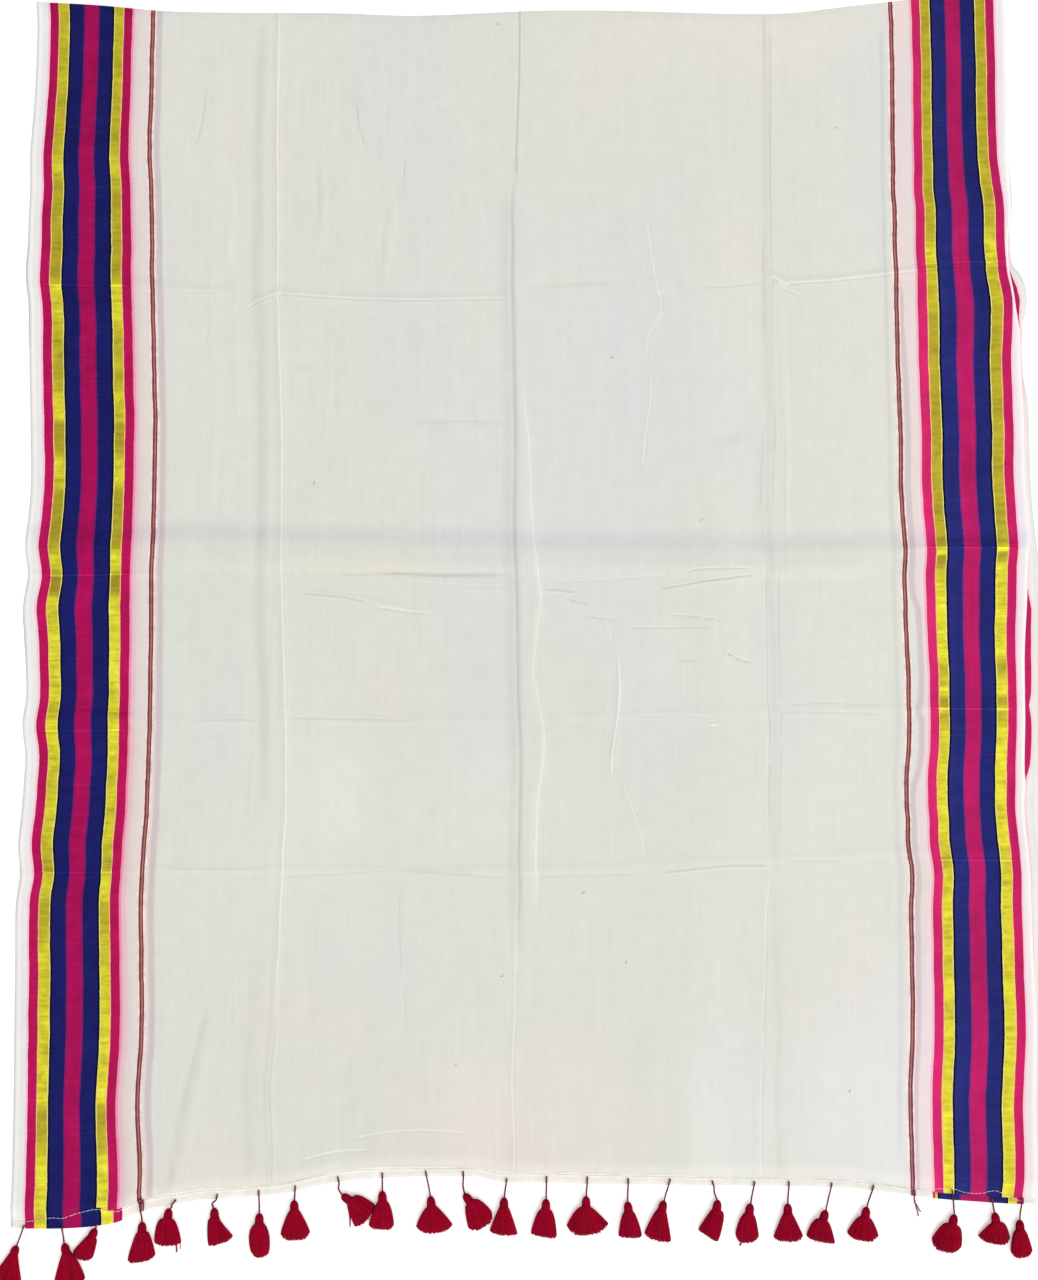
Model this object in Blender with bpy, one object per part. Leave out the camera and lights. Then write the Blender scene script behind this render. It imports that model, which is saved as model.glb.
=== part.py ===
"""A white handloom saree, folded in four and laid flat, its tasselled end on top.

Metres, +Z up. +X runs across the cloth and +Y from the tassels to the upper fold.
The origin is on the surface the saree lies on, under the middle of its box.

The cloth is laid out by two distances: "across", from the middle of its width, and
"up", from the hem line. The tables are in millimetres, and MM turns them to metres.
"""
import bisect
import math
from typing import NamedTuple

import bmesh
import bpy
from mathutils import Vector

MM = 0.001

# Cloth, across its width
CLOTH_WIDTH = 1.150
SELVEDGE = 0.016
BORDER_WIDTH = 0.099
HALF_WIDTH = CLOTH_WIDTH / 2
BORDER_OUTER = HALF_WIDTH - SELVEDGE
BORDER_INNER = BORDER_OUTER - BORDER_WIDTH

# Cloth, along its length
FOLDED_LENGTH = 1.357
HEM_REACH = 0.260
FOLD_REACH = 0.160

# Walls and the pile of layers
WALL = 0.0014
GAP = 0.0003
LAYER = 0.0014
PILE = 3 * LAYER
LIE = PILE + GAP
FLOOR_GAP = 0.0003
EDGE_ROUND = 0.00035
FOLD_RADIUS = (LIE + WALL) / 2
FOLD_STEPS = 5
FOLD_CLEAR = 0.0014

# The pallu's lower end, where it comes down off the pile
PANEL_END = 0.0026
DROOP_LOW = 0.006
DROOP_HIGH = 0.024
DROOP_STEPS = 4
UPPER_LAYER_END = 0.026
LOWER_LAYERS_END = 0.021

# Spacing of the plain lines between the creases
WIDEST_BAY = 0.074
WIDEST_STEP = 0.086
CLOSEST_COLUMN = 0.020

# Hem, turned up on the face
HEM_WALL = 0.0012

# Tassels
SIDES = 8
CORD_RADIUS = 0.0010
CORD_SAG = 0.0012
HEAD_RADIUS = 0.0042
LOCK_CORE = 0.17
LOCK_TRIM = 0.030
LOCK_UNEVEN = 0.035
LOCK_ROUND = 0.10
LOCK_PHASE = 3.1
LOCK_WIDEST = math.cos(math.pi / SIDES - LOCK_TRIM)
CORE = -1

# The cord without its tassel
LOST_ACROSS = 0.435
LOST_INSET = 0.006
LOST_SPLIT = 0.008
LOST_SPLIT_HEIGHT = 0.0044
LOST_THREAD_RADIUS = 0.0008

UP = Vector((0, 0, 1))


class Section(NamedTuple):
    """Where the border lines lie at one height, and how far the section climbs at the right."""
    up: float
    left_outer: float
    left_inner: float
    right_inner: float
    right_outer: float
    climb: float


SECTIONS = (
    Section(-45, -551, -451, 466, 563, 0),
    Section(60, -551, -452, 465, 566, 6),
    Section(200, -552, -452, 470, 569, 14),
    Section(345, -550, -454, 471, 569, 20),
    Section(430, -549, -450, 467, 564, 17),
    Section(520, -550, -449, 470, 568, 14),
    Section(600, -549, -448, 470, 568, 22),
    Section(687, -549, -449, 469, 571, 30),
    Section(760, -551, -448, 469, 573, 30),
    Section(868, -550, -448, 466, 570, 30),
    Section(960, -554, -451, 466, 571, 32),
    Section(1021, -557, -454, 466, 569, 34),
    Section(1111, -558, -457, 465, 567, 28),
    Section(1184, -558, -460, 464, 562, 20),
    Section(1270, -554, -459, 464, 561, 10),
    Section(1357, -555, -457, 464, 560, 0),
)


class EdgePoint(NamedTuple):
    """How far an end of the cloth lies above its own straight line, at one place across."""
    across: float
    rise: float


HEM_LINE = (
    EdgePoint(-575, -44),
    EdgePoint(-520, -47),
    EdgePoint(-460, -42),
    EdgePoint(-440, -29),
    EdgePoint(-387, -18),
    EdgePoint(-297, -8),
    EdgePoint(-208, -3),
    EdgePoint(-118, 2),
    EdgePoint(105, 0),
    EdgePoint(284, 1),
    EdgePoint(373, -3),
    EdgePoint(462, -15),
    EdgePoint(575, -23),
)

FOLD_LINE = (
    EdgePoint(-575, 14),
    EdgePoint(-504, 10),
    EdgePoint(-409, 2),
    EdgePoint(-220, 0),
    EdgePoint(-125, -3),
    EdgePoint(20, 3),
    EdgePoint(110, 3),
    EdgePoint(300, -1),
    EdgePoint(395, 9),
    EdgePoint(510, 22),
    EdgePoint(575, 27),
)


class LongCrease(NamedTuple):
    """A ridge that runs up the cloth: its place at the hem and the fold, and its form."""
    low_place: float
    high_place: float
    height: float
    reach: float
    start: float
    stop: float


LONG_CREASES = (
    LongCrease(-290, -286, 1.7, 9, -60, 1400),
    LongCrease(-10, -9, 2.1, 7, -60, 1400),
    LongCrease(17, 20, 2.2, 16, 240, 900),
    LongCrease(271, 290, 1.8, 9, -60, 1400),
)


class CrossCrease(NamedTuple):
    """A ridge that runs across the cloth: its height up it, and its form."""
    up: float
    height: float
    reach: float


CROSS_CREASES = (
    CrossCrease(345, 1.4, 9),
    CrossCrease(520, 0.8, 8),
    CrossCrease(712, 2.5, 24),
    CrossCrease(868, 0.7, 8),
    CrossCrease(1021, 1.6, 9),
)


class Peek(NamedTuple):
    """How far each hidden layer shows beyond the pallu's edges, at one height."""
    up: float
    left_second: float
    left_third: float
    left_fourth: float
    right_second: float
    right_third: float
    right_fourth: float


PEEKS = (
    Peek(-45, -3, -6, -1, 2, 5, 3),
    Peek(250, -2, -8, 1, 4, 8, 5),
    Peek(420, -3, -9, 1, 5, 14, 10),
    Peek(470, -4, -10, 0, 6, 21, 17),
    Peek(600, -4, -10, 2, 7, 23, 19),
    Peek(720, -4, -9, 1, 8, 21, 17),
    Peek(790, -3, -8, 0, 8, 13, 10),
    Peek(1000, -3, -6, 2, 8, 8, 6),
    Peek(1060, -2, -5, 2, 5, 6, 3),
    Peek(1110, -2, -5, 1, -2, -1, -3),
    Peek(1357, -2, -4, -1, -3, -4, -2),
)


class HiddenLayer(NamedTuple):
    """One layer of the pile: its place from the surface up, and where it ends at the hem."""
    name: str
    order: int
    lower_end: float


PILE_LAYERS = (
    HiddenLayer("fourth", 0, LOWER_LAYERS_END),
    HiddenLayer("third", 1, LOWER_LAYERS_END),
    HiddenLayer("second", 2, UPPER_LAYER_END),
)


class HemStation(NamedTuple):
    """A line along the hem strip: its distance up, and its rise over the line laid on the cloth."""
    up: float
    rise: float


HEM_STATIONS = (
    HemStation(0.6, -1.6),
    HemStation(0.8, -0.8),
    HemStation(1.6, -0.2),
    HemStation(3.2, 0.0),
    HemStation(6.0, 0.0),
    HemStation(10.0, 0.0),
    HemStation(14.0, 0.0),
)


class Tassel(NamedTuple):
    """One tassel: its cord's root on the hem, its head's top, its skirt's end and widths."""
    across: float
    inset: float
    side: float
    drop: float
    lean: float
    fall: float
    belly: float
    spread: float


TASSELS = (
    Tassel(-560, 4, -6, 22, -13, 41, 29, 38),
    Tassel(-519, 4, 4, 18, 6, 42, 25, 32),
    Tassel(-480, 4, 0, 8, -15, 27, 22, 27),
    Tassel(-430, 4, 1, 19, -1, 41, 24, 30),
    Tassel(-392, 5, -3, 13, -2, 40, 23, 28),
    Tassel(-345, 6, -2, 16, 5, 38, 21, 28),
    Tassel(-298, 4, 1, 26, 2, 44, 25, 20),
    Tassel(-258, 5, -1, 16, 3, 42, 24, 31),
    Tassel(-210, 9, 5, 19, 22, 24, 26, 30),
    Tassel(-160, 11, -1, 19, 0, 40, 25, 27),
    Tassel(-112, 10, 5, 25, 4, 36, 33, 38),
    Tassel(-71, 9, 2, 22, 20, 26, 28, 31),
    Tassel(-21, 5, -2, 20, 0, 41, 23, 28),
    Tassel(22, 7, 1, 23, -3, 41, 24, 28),
    Tassel(68, 7, 0, 20, 0, 37, 38, 42),
    Tassel(115, 6, -1, 25, 4, 38, 22, 25),
    Tassel(162, 5, -7, 24, -6, 43, 23, 27),
    Tassel(211, 5, 5, 22, -9, 43, 24, 26),
    Tassel(257, 4, -4, 24, -6, 41, 24, 27),
    Tassel(296, 5, -1, 25, 0, 41, 26, 34),
    Tassel(344, 5, -5, 28, -10, 38, 25, 32),
    Tassel(390, 6, -6, 24, -8, 37, 29, 35),
    Tassel(479, 6, 2, 23, -9, 40, 31, 35),
    Tassel(523, 5, 2, 20, 0, 35, 29, 34),
    Tassel(560, 5, -4, 23, 0, 41, 21, 24),
)


class HeadRing(NamedTuple):
    """A ring of a tassel's head: its distance along the head and its radius."""
    along: float
    radius: float


HEAD_RINGS = (
    HeadRing(0.0, 1.3),
    HeadRing(1.6, 3.3),
    HeadRing(4.4, 4.2),
    HeadRing(8.2, 4.1),
    HeadRing(10.6, 3.2),
    HeadRing(12.4, 3.7),
)


class LockSection(NamedTuple):
    """A section of the skirt: its share of the length, its share of belly width, its half height."""
    share: float
    belly_part: float
    thick: float


LOCK_SECTIONS = (
    LockSection(0.55, 1.0, 3.8),
    LockSection(1.0, 0.0, 2.7),
)


class LostThread(NamedTuple):
    """One thread end of the cord that has lost its tassel: how far its tip reaches."""
    side: float
    drop: float


LOST_THREADS = (
    LostThread(4.5, 27),
    LostThread(8.5, 22),
)

COTTON_WHITE = (0.78, 0.77, 0.72, 1.0)
HEM_WHITE = (0.86, 0.85, 0.80, 1.0)
LAYER_WHITE = (0.74, 0.72, 0.69, 1.0)
CRIMSON = (0.29, 0.004, 0.022, 1.0)
MAROON = (0.16, 0.02, 0.03, 1.0)
COTTON_ROUGHNESS = 0.85
SMOOTH_UNDER = math.radians(40)


def curve_through(rows, column, place):
    """Reads a column of a table at a place, in metres, on a smooth curve through its rows."""
    keys = [row[0] * MM for row in rows]
    values = [getattr(row, column) * MM for row in rows]
    place = min(max(place, keys[0]), keys[-1])
    low = min(bisect.bisect_right(keys, place), len(keys) - 1) - 1

    def slope(index):
        before = max(index - 1, 0)
        after = min(index + 1, len(keys) - 1)
        return (values[after] - values[before]) / (keys[after] - keys[before])

    span = keys[low + 1] - keys[low]
    t = (place - keys[low]) / span
    return (values[low] * (1 + 2 * t) * (1 - t) ** 2
            + slope(low) * span * t * (1 - t) ** 2
            + values[low + 1] * t * t * (3 - 2 * t)
            + slope(low + 1) * span * t * t * (t - 1))


def ease(t):
    """Rises smoothly from 0 to 1 as t does."""
    t = min(max(t, 0.0), 1.0)
    return t * t * (3 - 2 * t)


def mix(low, high, t):
    """The value a share t of the way from low to high."""
    return low + (high - low) * t


def spot(across, up):
    """The place on the surface, x and y, of a point of the laid cloth."""
    lines = (-HALF_WIDTH, -BORDER_OUTER, -BORDER_INNER, BORDER_INNER, BORDER_OUTER, HALF_WIDTH)
    left = curve_through(SECTIONS, "left_outer", up)
    right = curve_through(SECTIONS, "right_outer", up)
    places = (left - SELVEDGE, left, curve_through(SECTIONS, "left_inner", up),
              curve_through(SECTIONS, "right_inner", up), right, right + SELVEDGE)
    inside = min(max(across, -HALF_WIDTH), HALF_WIDTH)
    part = min(bisect.bisect_right(lines, inside), len(lines) - 1) - 1
    share = (inside - lines[part]) / (lines[part + 1] - lines[part])
    x = mix(places[part], places[part + 1], share) + across - inside
    hem_share = 1 - ease(up / HEM_REACH)
    fold_share = 1 - ease((FOLDED_LENGTH - up) / FOLD_REACH)
    y = (up + curve_through(HEM_LINE, "rise", inside) * hem_share
         + curve_through(FOLD_LINE, "rise", inside) * fold_share
         + curve_through(SECTIONS, "climb", up) * max(inside, 0) / BORDER_INNER)
    return x, y


def bump(distance, reach):
    """A soft ridge: 1 at its crest and 0 from its reach outwards."""
    return (1 - min(abs(distance) / reach, 1)) ** 2


def crease_place(crease, up):
    """Where across the cloth a long crease lies at a height up it."""
    return mix(crease.low_place, crease.high_place, up / FOLDED_LENGTH) * MM


def relief(across, up):
    """How high the creases lift the cloth at a point."""
    height = 0.0
    for crease in LONG_CREASES:
        middle = (crease.start + crease.stop) / 2 * MM
        half = (crease.stop - crease.start) / 2 * MM
        fade = ease((1 - abs(up - middle) / half) * 2)
        ridge = bump(across - crease_place(crease, up), crease.reach * MM)
        height = max(height, crease.height * MM * ridge * fade)
    for crease in CROSS_CREASES:
        ridge = bump(up - crease.up * MM, crease.reach * MM)
        height = max(height, crease.height * MM * ridge)
    return height


def lie_height(up):
    """The height of the pallu's underside: on the pile, and down to the surface at the hem."""
    return mix(FLOOR_GAP, LIE, ease((up - DROOP_LOW) / (DROOP_HIGH - DROOP_LOW)))


def panel_face(across, up):
    """The height of the pallu's upper face."""
    up = max(up, PANEL_END)
    return lie_height(up) + WALL + relief(across, up)


def hem_face(across, up):
    """The height of the hem's upper face."""
    return panel_face(across, up) + GAP + HEM_WALL


def filled(stops, widest):
    """Adds even lines between stops wherever they are further apart than the widest bay."""
    lines = [stops[0]]
    for stop in stops[1:]:
        start = lines[-1]
        bays = max(1, math.ceil((stop - start) / widest))
        lines.extend(mix(start, stop, bay / bays) for bay in range(1, bays + 1))
    return lines


def column_stops(up):
    """The lines that the borders and the long creases need across the cloth, at one height."""
    stops = [-HALF_WIDTH, -BORDER_OUTER, -BORDER_INNER, BORDER_INNER, BORDER_OUTER, HALF_WIDTH]
    for crease in LONG_CREASES:
        place = crease_place(crease, up)
        stops.extend((place - crease.reach * MM, place, place + crease.reach * MM))
    return sorted(stops)


def panel_columns():
    """The pallu's lines across, each with its place at the hem and its place at the fold."""
    at_hem = filled(column_stops(0), WIDEST_BAY)
    at_fold = filled(column_stops(FOLDED_LENGTH), WIDEST_BAY)
    return list(zip(at_hem, at_fold, strict=True))


def panel_rows():
    """The pallu's lines up, from its lower end to where the upper fold begins to turn."""
    stops = [PANEL_END]
    stops.extend(mix(DROOP_LOW, DROOP_HIGH, step / DROOP_STEPS) for step in range(DROOP_STEPS + 1))
    for crease in CROSS_CREASES:
        stops.extend((crease.up + side * crease.reach) * MM for side in (-1, 0, 1))
    stops.append(FOLDED_LENGTH - FOLD_RADIUS)
    return filled(stops, WIDEST_STEP)


def new_object(name, bm, colour, frame):
    """Makes a named object of a bmesh, with its own material, held by the frame."""
    bmesh.ops.recalc_face_normals(bm, faces=bm.faces)
    mesh = bpy.data.meshes.new(name)
    bm.to_mesh(mesh)
    bm.free()
    mesh.shade_smooth()
    mesh.set_sharp_from_angle(angle=SMOOTH_UNDER)
    material = bpy.data.materials.new(name)
    material.use_nodes = True
    shader = material.node_tree.nodes["Principled BSDF"]
    shader.inputs["Base Color"].default_value = colour
    shader.inputs["Roughness"].default_value = COTTON_ROUGHNESS
    shader.inputs["Metallic"].default_value = 0.0
    mesh.materials.append(material)
    made = bpy.data.objects.new(name, mesh)
    made.parent = frame
    bpy.context.scene.collection.objects.link(made)
    return made


def sheet(columns, rows, place):
    """A grid whose points lie where place(column, row) puts them."""
    bm = bmesh.new()
    bmesh.ops.create_grid(bm, x_segments=len(columns) - 1, y_segments=len(rows) - 1, size=1)
    for vert in bm.verts:
        column = round((vert.co.x + 1) / 2 * (len(columns) - 1))
        row = round((vert.co.y + 1) / 2 * (len(rows) - 1))
        vert.co = place(columns[column], rows[row])
    return bm


def thicken(made, wall):
    """Gives a sheet its wall, half of it to each side."""
    solidify = made.modifiers.new("Wall", "SOLIDIFY")
    solidify.thickness = wall
    solidify.offset = 0


def start_prism(sides):
    """A closed prism whose points are marked with their turn round it, and its two end faces."""
    bm = bmesh.new()
    bmesh.ops.create_cone(bm, cap_ends=True, segments=sides, radius1=1, radius2=1, depth=1)
    mark = bm.verts.layers.int.new("turn")
    for vert in bm.verts:
        angle = math.atan2(vert.co.x, vert.co.y)
        vert[mark] = round(angle / math.tau * sides) % sides
    by_height = sorted(bm.faces, key=lambda face: face.calc_center_median().z)
    return bm, mark, by_height[0], by_height[-1]


def set_points(face, mark, place):
    """Puts each point of a face where place(its mark) says."""
    for vert in face.verts:
        vert.co = place(vert[mark])


def extended(bm, face, mark, place):
    """Extrudes a face, puts its points where place(their mark) says, and returns it."""
    grown = bmesh.ops.extrude_discrete_faces(bm, faces=[face])["faces"][0]
    set_points(grown, mark, place)
    return grown


def loft(sides, rings):
    """A closed body through rings, each a function from a point's mark to its place."""
    bm, mark, start, end = start_prism(sides)
    set_points(start, mark, rings[0])
    set_points(end, mark, rings[1])
    for ring in rings[2:]:
        end = extended(bm, end, mark, ring)
    return bm, mark, end


def round_ring(centre, side, radius, sides):
    """A ring about a centre, level across along side and upright the other way."""
    def place(turn):
        angle = (turn + 0.5) * math.tau / sides
        return centre + (side * math.cos(angle) + UP * math.sin(angle)) * radius
    return place


def make_panel(frame):
    """The pallu: the top layer, from its lower end up and round the upper fold."""
    turn_start = FOLDED_LENGTH - FOLD_RADIUS
    turn = [FOLDED_LENGTH + step / FOLD_STEPS for step in range(1, FOLD_STEPS + 1)]
    middle_radius = FOLD_RADIUS - WALL / 2

    def place(column, row):
        up = min(row, turn_start)
        across = mix(*column, up / FOLDED_LENGTH)
        x, y = spot(across, up)
        lift = relief(across, up)
        if row <= turn_start:
            return Vector((x, y, lie_height(up) + WALL / 2 + lift))
        angle = (row - FOLDED_LENGTH) * math.pi
        out = middle_radius * math.sin(angle)
        fall = (1 + math.cos(angle)) / 2
        return Vector((x, y + out, WALL / 2 + (2 * middle_radius + lift) * fall))

    grid = sheet(panel_columns(), panel_rows() + turn, place)
    thicken(new_object("pallu_panel", grid, COTTON_WHITE, frame), WALL)


def make_hem(frame):
    """The cloth's end, turned up on the pallu's face, with its own fold along the edge."""
    def place(across, station):
        up = station.up * MM
        x, y = spot(across, up)
        return Vector((x, y, hem_face(across, up) - HEM_WALL / 2 + station.rise * MM))

    columns = [at_hem for at_hem, at_fold in panel_columns()]
    grid = sheet(columns, HEM_STATIONS, place)
    thicken(new_object("pallu_hem", grid, HEM_WHITE, frame), HEM_WALL)


def layer_columns():
    """The pallu's inner lines across, at the hem and at the fold, that the layers' ends follow."""
    kept = []
    for column in panel_columns()[1:-1]:
        if not kept or column[0] - kept[-1][0] > CLOSEST_COLUMN:
            kept.append(column)
    return zip(*kept)


def layer_outline(layer, inset):
    """The outline of a hidden layer, pulled in by an inset, round from its left lower corner."""
    low = layer.lower_end + inset
    high = FOLDED_LENGTH - FOLD_RADIUS - FOLD_CLEAR - inset
    heights = [row.up * MM for row in SECTIONS if low < row.up * MM < high]
    at_hem, at_fold = layer_columns()

    def edge(side, up):
        reach = HALF_WIDTH + curve_through(PEEKS, side + "_" + layer.name, up) - inset
        return (-reach if side == "left" else reach), up

    lower = [edge("left", low), *((across, low) for across in at_hem), edge("right", low)]
    right = [edge("right", up) for up in heights]
    upper = [edge("right", high), *((across, high) for across in reversed(at_fold)),
             edge("left", high)]
    left = [edge("left", up) for up in reversed(heights)]
    return [spot(across, up) for across, up in lower + right + upper + left]


def make_layers(frame):
    """The rest of the length: three hidden layers in one solid, parted by grooves at its edges."""
    rings = []
    for layer in PILE_LAYERS:
        bottom = layer.order * LAYER
        inner = layer_outline(layer, EDGE_ROUND)
        outer = layer_outline(layer, 0)
        rings.append((inner, bottom))
        rings.append((outer, bottom + EDGE_ROUND))
        rings.append((outer, bottom + LAYER - EDGE_ROUND))
        rings.append((inner, bottom + LAYER))

    def level_ring(outline, height):
        return lambda turn: Vector((*outline[turn], height))

    bm, mark, end = loft(len(rings[0][0]), [level_ring(*ring) for ring in rings])
    new_object("folded_layers", bm, LAYER_WHITE, frame)


def level_side(way):
    """The level direction square to a way, to its left."""
    return Vector((-way.y, way.x, 0)).normalized()


def cord_stations(across, inset, neck):
    """The cord's line: from its root on the hem over the edge and, sagging, to a neck."""
    clear = GAP + CORD_RADIUS
    root = Vector((*spot(across, inset), hem_face(across, inset) + clear))
    edge = root.lerp(neck, (inset + GAP) / (root.y - neck.y))
    edge.z = hem_face(across, 0) + clear
    middle = edge.lerp(neck, 0.5) - UP * CORD_SAG
    return [root, edge, middle]


def make_tassel(name, row, order, frame):
    """A cord, its bound head and a skirt of eight locks, one closed body."""
    x, y = spot(row.across * MM, row.inset * MM)
    neck = Vector((x + row.side * MM, y - row.drop * MM, HEAD_RADIUS + FLOOR_GAP))
    cord = cord_stations(row.across * MM, row.inset * MM, neck)
    cord_side = level_side(neck - cord[0])
    way = Vector((row.lean, -row.fall, 0)).normalized()
    side = level_side(way)
    rings = [round_ring(centre, cord_side, CORD_RADIUS, SIDES) for centre in cord]
    for head in HEAD_RINGS:
        centre = neck + way * head.along * MM
        rings.append(round_ring(centre, side, head.radius * MM, SIDES))
    bm, mark, end = loft(SIDES, rings)
    start = neck + way * HEAD_RINGS[-1].along * MM
    length = math.hypot(row.lean, row.fall) * MM - HEAD_RINGS[-1].along * MM
    add_locks(bm, mark, end, row, order, start, way * length)
    new_object(name, bm, CRIMSON, frame)


def parted(bm, mark, end, sides):
    """Cuts an end face into wedges round its middle; gives each with its angle round the ring."""
    poked = bmesh.ops.poke(bm, faces=[end])
    for vert in poked["verts"]:
        vert[mark] = CORE
    wedges = []
    for wedge in poked["faces"]:
        turns = [(vert[mark] + 0.5) * math.tau / sides for vert in wedge.verts if vert[mark] != CORE]
        angle = math.atan2(sum(map(math.sin, turns)), sum(map(math.cos, turns)))
        wedges.append((wedge, angle))
    return wedges


def add_locks(bm, mark, end, row, order, start, skirt):
    """Parts the head's lower end into locks of thread that fan out over the surface."""
    side = level_side(skirt)
    for wedge, angle in parted(bm, mark, end, SIDES):
        tip = wedge
        for share, belly_part, thick in LOCK_SECTIONS:
            shape = 1 + LOCK_UNEVEN * math.sin(LOCK_PHASE * order + 2 * angle)
            shape -= LOCK_ROUND * math.cos(angle) ** 2 * share
            centre = start + skirt * share * shape
            centre.z = thick * MM + FLOOR_GAP
            wide = mix(row.spread, row.belly, belly_part) / 2 * MM / LOCK_WIDEST
            tip = extended(bm, tip, mark, lock_section(centre, side, wide, thick * MM, angle))
            brace_sides(tip, mark)


def brace_sides(tip, mark):
    """Splits a lock's two inner sides from the middle outwards, so that neighbours never cross."""
    for edge in tip.edges:
        cores = [vert for vert in edge.verts if vert[mark] == CORE]
        if len(cores) == 1:
            corner = edge.other_vert(cores[0])
            wall = next(face for face in edge.link_faces if face != tip)
            root = next(vert for vert in wall.verts if vert[mark] == CORE and vert != cores[0])
            bmesh.utils.face_split(wall, root, corner)


def lock_section(centre, side, wide, high, angle):
    """A lock's section: two corners on the skirt's outside and one near the skirt's middle."""
    half = math.pi / SIDES

    def place(turn):
        if turn == CORE:
            return centre + (side * wide * math.cos(angle) + UP * high * math.sin(angle)) * LOCK_CORE
        off = math.remainder((turn + 0.5) * math.tau / SIDES - angle, math.tau)
        corner = angle + math.copysign(half - LOCK_TRIM, off)
        return centre + side * wide * math.cos(corner) + UP * high * math.sin(corner)
    return place


def make_broken_cord(frame):
    """The cord that has lost its tassel: it parts at the hem's edge into two thread ends."""
    root = Vector((*spot(LOST_ACROSS, LOST_INSET), 0))
    split = root + Vector((0, -LOST_SPLIT, LOST_SPLIT_HEIGHT))
    line = cord_stations(LOST_ACROSS, LOST_INSET, split)[:2] + [split]
    side = Vector((1, 0, 0))
    sides = 4
    rings = [round_ring(centre, side, CORD_RADIUS, sides) for centre in line]
    bm, mark, end = loft(sides, rings)
    wedges = {round(math.cos(angle)): wedge for wedge, angle in parted(bm, mark, end, sides)}
    for outward, thread in zip((-1, 1), LOST_THREADS):
        tip_centre = root + Vector((thread.side * MM, -thread.drop * MM, 0))
        tip_centre.z = FLOOR_GAP + LOST_THREAD_RADIUS
        middle = split.lerp(tip_centre, 0.5) - UP * CORD_SAG
        tip = wedges[outward]
        for centre in (middle, tip_centre):
            tip = extended(bm, tip, mark, thread_section(centre, side * outward, sides))
    new_object("broken_cord", bm, MAROON, frame)


def thread_section(centre, outward, sides):
    """A thread's three-cornered section, one corner towards the other thread."""
    def place(turn):
        if turn == CORE:
            return centre - outward * LOST_THREAD_RADIUS
        upper = math.sin((turn + 0.5) * math.tau / sides) > 0
        return centre + (outward * 0.5 + UP * (0.8 if upper else -0.8)) * LOST_THREAD_RADIUS
    return place


def centre_frame(frame):
    """Moves the frame so that the origin is under the middle of everything's box."""
    bpy.context.view_layer.update()
    graph = bpy.context.evaluated_depsgraph_get()
    corners = []
    for child in frame.children:
        shown = child.evaluated_get(graph)
        corners.extend(shown.matrix_world @ Vector(corner) for corner in shown.bound_box)
    lowest = [min(corner[axis] for corner in corners) for axis in range(3)]
    highest = [max(corner[axis] for corner in corners) for axis in range(3)]
    frame.location = (-(lowest[0] + highest[0]) / 2, -(lowest[1] + highest[1]) / 2, -lowest[2])


def main():
    """Builds the saree in an empty scene."""
    for old in list(bpy.data.objects):
        bpy.data.objects.remove(old)
    frame = bpy.data.objects.new("saree", None)
    bpy.context.scene.collection.objects.link(frame)
    make_layers(frame)
    make_panel(frame)
    make_hem(frame)
    for order, row in enumerate(TASSELS, start=1):
        make_tassel(f"tassel_{order:02d}", row, order, frame)
    make_broken_cord(frame)
    centre_frame(frame)


main()
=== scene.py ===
"""The looks of a white handloom saree, folded in four and laid flat, its tasselled end on top.

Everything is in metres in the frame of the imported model: +Z up off the surface, +X across the
cloth and +Y from the tassels to the upper fold. The cloth is laid out by two distances:
"across", from the middle of its width, and "up", from its hem line. The tables are in
millimetres, and MM turns them to metres.
"""
import bisect
import logging
import math
import random
from collections.abc import Callable, Iterable, Sequence
from dataclasses import dataclass
from enum import Enum
from typing import TypeVar

import bmesh
import bpy
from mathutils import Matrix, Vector, noise


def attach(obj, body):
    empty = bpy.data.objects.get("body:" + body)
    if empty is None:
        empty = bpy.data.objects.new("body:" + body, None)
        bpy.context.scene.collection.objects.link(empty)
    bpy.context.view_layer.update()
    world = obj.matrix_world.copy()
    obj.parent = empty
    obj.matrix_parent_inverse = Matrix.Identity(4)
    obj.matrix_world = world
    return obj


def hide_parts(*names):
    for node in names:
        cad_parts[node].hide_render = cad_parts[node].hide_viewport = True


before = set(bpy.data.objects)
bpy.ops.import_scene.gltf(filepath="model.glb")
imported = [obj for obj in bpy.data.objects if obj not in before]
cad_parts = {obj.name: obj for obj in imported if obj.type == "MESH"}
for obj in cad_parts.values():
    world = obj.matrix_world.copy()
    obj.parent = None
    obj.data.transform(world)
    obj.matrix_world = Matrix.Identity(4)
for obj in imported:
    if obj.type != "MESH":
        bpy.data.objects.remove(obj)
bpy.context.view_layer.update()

MM = 0.001
UP = Vector((0, 0, 1))
log = logging.getLogger("saree")

Colour = tuple[float, float, float, float]
Place = tuple[float, float]
Row = TypeVar("Row")
HALF_WIDTH = 0.575
LEFT_EDGE = -575


def rows_of(kind: type[Row], rows: Iterable[tuple]) -> tuple[Row, ...]:
    """Returns a table's rows, each with its values in the order of the kind's fields."""
    return tuple(kind(*row) for row in rows)


class Held(Enum):
    """How a sheet of the cloth is held."""
    FOLDED = "folded"


class Slot(Enum):
    """The record's material slots."""
    LAYER = "layer_cloth"
    BODY = "body_cloth"
    HEM = "hem_cloth"
    TASSEL = "tassel_thread"
    CORD = "cord_thread"


@dataclass(frozen=True)
class BorderLine:
    """Where the four edges of the striped borders lie at one height on the surface."""
    height: float
    left_outer: float
    left_inner: float
    right_inner: float
    right_outer: float


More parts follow.
